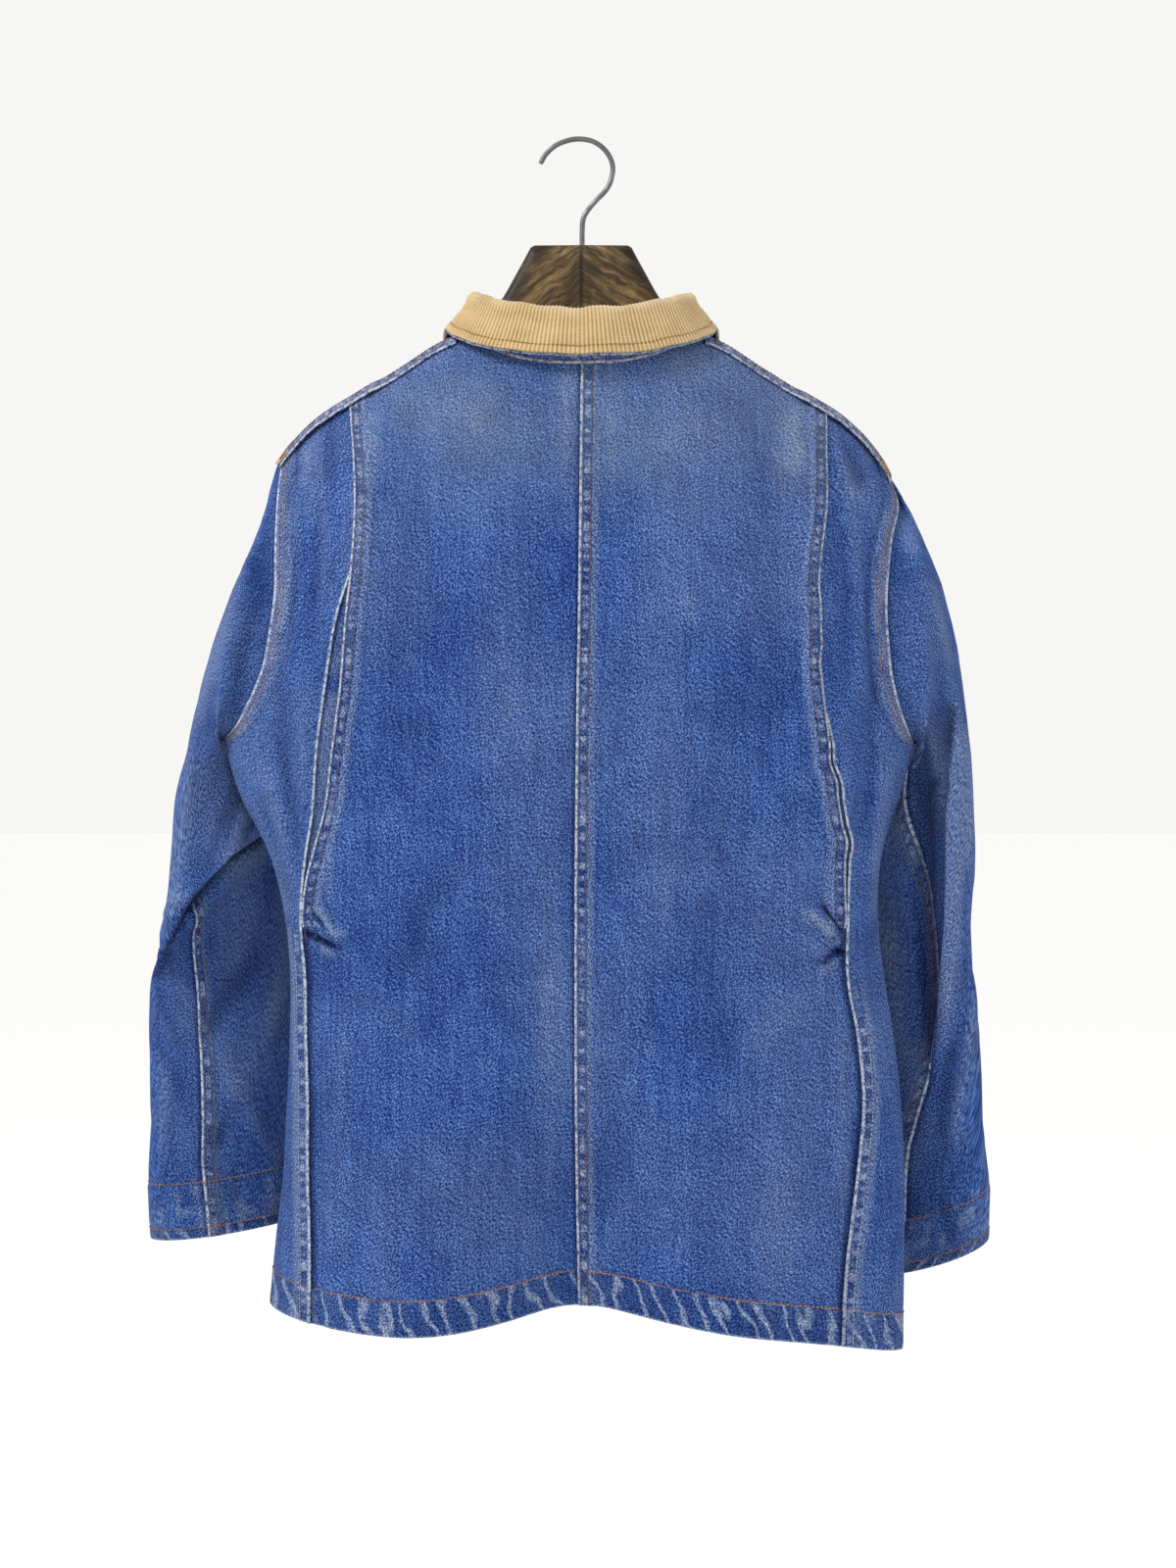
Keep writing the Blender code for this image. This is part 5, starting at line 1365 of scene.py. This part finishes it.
turn, along = collar_turns(WALE / (5))
path = collar_rows(turn, np.linspace(0, 1, 26))
from_edge = lengths(path[::-1], 0)[::-1]
along = along + 0 * from_edge
ribs = 0.30 * np.cos(2 * np.pi * along / WALE) * ease(-0.5, 1.5, from_edge)
turned = 0.5 * ease(7.5, 5.0, from_edge) - 0.5 * bell(from_edge, COLLAR_STITCH, 0.9)
soft = 0.7 * uneven(along, from_edge, 16, 83)
points = path + grid_normals(path) * (CORD + ribs + turned + soft * ease(0, 6, from_edge))[..., None]
rub = 0.45 * bell(from_edge, from_edge[0] * 0.47, 7) * (0.7 + 0.6 * uneven(along, from_edge, 12, 84))
piece = cloth_piece("collar", points, grid_quads(*points.shape[:2]), CORD - 0.25 + ribs + turned,
                    {"weave": np.stack([along, from_edge], -1)}, {"pale": np.clip(rub, 0, 1)}, corduroy())
line, normal = rows_at_height(points, grid_normals(points), from_edge, COLLAR_STITCH)
tan_thread = thread("tan_thread", (0.34, 0.185, 0.062, 1), (0.25, 0.135, 0.048, 1))
stitch_rows("collar_stitches", [(line + normal * 0.2, normal)], tan_thread)

# ---- under collar ----
# One layer of denim under the corduroy, sewn to it along the edge and turned with it. It follows the same roll, and
# its edge goes a little further round.
turn, along = collar_turns(3.0)
path = collar_rows(turn, np.linspace(0, 1, 22))
last = path[-1] - path[-2]
path[-1] += last / np.linalg.norm(last, axis=-1, keepdims=True) * 1.3
points = path - grid_normals(path) * 0.5
from_edge = lengths(points[::-1], 0)[::-1]
piece = cloth_piece("under_collar", points, grid_quads(*points.shape[:2]), CLOTH,
                    cloth_maps((along + 0 * from_edge, from_edge), (from_edge, along)),
                    {"pale": 0.1, "dark": 0.15, "rope": 0.2}, body_denim)

# ---- neck band ----
# A narrow strip of the same denim that covers the neck seam under the collar. It is folded on both edges, laid over
# the seam and stitched along its lower edge.
BAND_STITCH = 1.9
x = np.concatenate([np.linspace(-87, -8, 60), np.linspace(-7, 18, 30), np.linspace(19, 87, 52)])
down = np.concatenate([[-7.2, -6.4], np.linspace(-5.5, 2.0, 12), [2.5, 3.0]])[:, None] + 0 * x
z = through(BACK_NECK, 1, np.abs(x)) - down
along = x + 0 * down
from_edge = 3 - down
rise = LAYER * (1.1 + 1.1 * ease(-8, -2, x) * ease(20, 14, x)) + 2.6 * ease(2, -2, down)
rise = rise + 0.4 * bell(from_edge, 1.2, 1.0) + 0.35 * uneven(along, down, 5, 91) * ease(-6, -3, down)
points = on_body(along, z, True) + body_normal(along, z, True) * rise[..., None]
pale = np.clip(0.15 + 0.3 * uneven(along, down, 7, 92), 0, 1)
# dark mark: painted shadow of the collar, strongest at the band's top edge
piece = cloth_piece("neck_band", points, grid_quads(*points.shape[:2]), CLOTH,
                    cloth_maps((down + 700, along), (from_edge, along)),
                    {"pale": pale, "dark": 0.5 * ease(1, -5, down), "rope": 0.9}, body_denim)
row = rows_at_height(points, grid_normals(points), from_edge, BAND_STITCH)
stitch_rows("neck_band_stitches", [row], brown_thread)

# ---- hanger ----
# Two turned arms of dark varnished beech, glued at a butt joint in the middle, with a steel wire hook screwed down
# into it. The varnish is worn through to a bronze brown along the grain.
# one arm: distance from the middle, top, bottom, half thickness, squareness of the section. Its first rows are the
# neck; beyond them the top follows the inside of the shoulder.
ARM = np.array([
    (0.2, -81, -162, 14, 5), (20, -81, -164, 13.5, 5), (38, -81, -168, 13, 5), (45, -94, -171, 12.5, 5),
    (59, -119, -177, 12, 4), (74, -138, -184, 11, 3), (86, -152, -190, 10.5, 2.2), (98, -158, -197, 10.5, 2),
    (125, 0, -214, 10.5, 2), (160, 0, -232, 10, 2), (190, 0, -247, 9, 2), (208, 0, -255, 7.5, 2),
    (218, 0, -257, 5, 2),
], float)
NECK_ROWS = 8
ARM_SHOULDER = 110.0
ARM_CLEAR = 3.2
HARD_EDGE = 0.6  # radians: edges of hard pieces sharper than this stay sharp


def capped(rings):
    """Points and faces of a sweep through rings, with a flat face over each end."""
    rows, around = rings.shape[:2]
    ends = [list(range(around)), list(range((rows - 1) * around, rows * around))]
    return rings.reshape(-1, 3), grid_quads(rows, around, closed=True).tolist() + ends


def worn_wood():
    """Dark varnish worn to bronze in streaks that run down from the joint, the same on both arms."""
    paint, tree, shader = fresh_paint("worn_wood", Specular_IOR_Level=0.22)
    place = wire(tree, "TexCoord").outputs["Object"]
    parts = wire(tree, "SeparateXYZ", i0=place).outputs
    out = math_of("ABSOLUTE", parts[0])
    corner = plus(parts[2], times(out, 0.62))
    cross = plus(corner, times(grain_of(place, 60.0), 0.012))
    at = wire(tree, "CombineXYZ", X=times(parts[0], 36.0), Y=times(parts[1], 60.0), Z=times(cross, 230.0)).outputs[0]
    streak = grain_of(at, 1.0, 5.0, 0.65)
    fine = grain_of(stretched(at, 2.2, 3.0, 5.0), 1.0, 3.0, 0.6)
    patch = grain_of(stretched(at, 1.3, 1.0, 0.15), 1.0, 3.0, 0.6)
    share = plus(times(streak, 0.6), times(fine, 0.25))
    varnish = ramp_of(plus(share, times(patch, 0.4)), (0.46, (0.010, 0.0065, 0.0035, 1)),
                      (0.84, (0.29, 0.185, 0.070, 1)), (0.60, (0.048, 0.030, 0.0125, 1)))
    rubbed = plus(out, times(parts[2], 0.62), times(patch, 0.016))
    joint = times(step_of(out, 0.0003, 0.0022, 0.3, 1.0), step_of(rubbed, -0.026, -0.008, 1.0, 0.28))
    tree.links.new(blend_of(1.0, varnish, joint, "MULTIPLY"), shader["Base Color"])
    tree.links.new(step_of(share, 0.3, 0.6, 0.38, 0.62), shader["Roughness"])
    tree.links.new(bump_of(fine, 0.25, 0.0004), shader["Normal"])
    return paint


def hanger_arm(side, word, paint):
    """Sections with rounded corners, |y|^n + |z|^n = 1, swept out from the joint to under the shoulder."""
    out = np.concatenate([[0.04, 0.9], np.linspace(2, 214, 70), [216, 217.4, 218]])
    top, bottom, thick, power = (through(ARM, k, out)[:, None] for k in range(1, 5))
    neck = ARM[:NECK_ROWS]
    joined = neck[-1, 0]
    slope = (ridge_z(out + 1) - ridge_z(out - 1)) / 2
    under = ridge_z(out) - ARM_CLEAR * np.hypot(1, slope)
    step = neck[-1, 1] - under[np.argmax(out > joined)]
    below = under + step * ease(ARM_SHOULDER, joined, out)
    top = np.where(out > joined, below, np.interp(out, *neck[:, :2].T))[:, None]
    turn = np.linspace(0, 2 * np.pi, 40, endpoint=False)
    c, s = np.cos(turn), np.sin(turn)
    share = (np.abs(c) ** power + np.abs(s) ** power) ** (-1 / power)
    tight = np.where(out > 215, 1 - 0.5 * ((out - 215) / 3) ** 2, 1)[:, None]
    y = through(RIDGE, 2, out)[:, None] + thick * tight * c * share
    z = (top + bottom) / 2 + (top - bottom) * tight / 2 * s * share
    points, faces = capped(np.stack([side * out[:, None] + 0 * y, y, z], axis=-1))
    mesh_piece(f"hanger_{word}", points, faces, paint, f"hanger_arm_{word}", turn_out=True,
               sharp=HARD_EDGE)


wood = worn_wood()
hanger_arm(-1, "left", wood)
hanger_arm(1, "right", wood)

# ---- hook ----
# Bright-drawn steel wire, bent cold over a former and dulled by handling. Its tip is cut square and filed round, and
# its straight shank is screwed into the top of the hanger.
# x, z of places along the wire from its tip
HOOK = np.array([
    (-31.5, -17), (-27, -9.5), (-19, -2.6), (-9, 1.2), (0, 2), (9.5, 0), (18, -6), (23.3, -14.5), (24.3, -24),
    (20.5, -35.5), (12, -45), (5.2, -53), (1.6, -60), (0.8, -70), (0.8, -80.6),
], float)
WIRE = 2.0


def dulled_metal(name, grain, dark, bright, roughness):
    """Metal whose colour and roughness vary with a fine grain, given as its scale, detail and roughness."""
    paint, tree, shader = fresh_paint(name, Metallic=1.0)
    dull = grain_of(wire(tree, "TexCoord").outputs["Object"], *grain)
    tree.links.new(blend_of(step_of(dull, 0.35, 0.65), dark, bright), shader["Base Color"])
    tree.links.new(step_of(dull, 0.3, 0.7, *roughness), shader["Roughness"])
    return paint


table = np.column_stack([np.arange(len(HOOK), dtype=float), HOOK])
fine = np.linspace(0, len(HOOK) - 1, 170)
x, z = through(table, 1, fine), through(table, 2, fine)
ahead = np.stack([np.gradient(x), np.gradient(z)], axis=-1)
ahead /= np.linalg.norm(ahead, axis=-1, keepdims=True)
turn = np.linspace(0, 2 * np.pi, 16, endpoint=False)
radius = WIRE * np.interp(np.arange(170), (0, 1, 3), (0.72, 0.92, 1.0))[:, None]
points, faces = capped(np.stack([
    x[:, None] - ahead[:, 1:] * radius * np.cos(turn), radius * np.sin(turn) - HOOK_PLANE,
    z[:, None] + ahead[:, :1] * radius * np.cos(turn)], axis=-1))
drawn_steel = dulled_metal("drawn_steel", (160.0, 3.0), (0.13, 0.13, 0.14, 1), (0.165, 0.17, 0.18, 1), (0.52, 0.30))
mesh_piece("hook_wire", points, faces, drawn_steel, "hanger_hook", turn_out=True, sharp=HARD_EDGE)

# ---- buttons ----
# Five plain shank buttons of aged brass with a rolled rim and a domed middle, riveted to the right front and pushed
# through the left. Each buttonhole is bound with close stitches.
BUTTON_HEIGHTS = -268 - 112 * np.arange(5)
BUTTON_RADIUS = 8.5
# share of the radius, height off the cloth
BUTTON_PROFILE = np.array([
    (0.05, 0.0), (0.55, 0.0), (0.80, 0.35), (0.96, 0.9), (1.0, 1.6), (0.97, 2.4), (0.90, 3.0), (0.82, 3.2),
    (0.75, 3.0), (0.70, 2.4), (0.62, 2.2), (0.45, 2.45), (0.25, 2.75), (0.05, 2.85),
])


def button(number, paint):
    z = BUTTON_HEIGHTS[number]
    turn = np.linspace(0, 2 * np.pi, 48, endpoint=False)
    ring_x, ring_z = BUTTON_RADIUS * np.cos(turn), BUTTON_RADIUS * np.sin(turn)
    seat = float(front_y(ring_x, z + ring_z).max()) + 2 * LAYER
    points, faces = capped(np.stack([np.stack([share * ring_x, seat + height + 0 * turn, z + share * ring_z], axis=-1)
                                     for share, height in BUTTON_PROFILE]))
    mesh_piece(f"button_{number + 1}_brass", points, faces, paint, f"button_{number + 1}",
               turn_out=True, sharp=HARD_EDGE)


def buttonhole(number):
    """Close stitches across two short lines, one above the slit and one below."""
    x = np.linspace(-15, 9, 14)
    lines = []
    for away in (-1.3, 1.3):
        z = BUTTON_HEIGHTS[number] + away + 0 * x
        normal = body_normal(x, z, False)
        lines.append((on_body(x, z, False) + normal * (OVERLAP_LIFT + 0.1), normal))
    stitch_rows(f"buttonhole_{number + 1}", lines, brown_thread, pitch=0.8, length=2.4, thick=0.36, turned=True)


brass = dulled_metal("aged_brass", (420.0, 4.0, 0.65), (0.16, 0.095, 0.04, 1), (0.50, 0.34, 0.15, 1), (0.55, 0.32))
for number in range(5):
    button(number, brass)
    buttonhole(number)
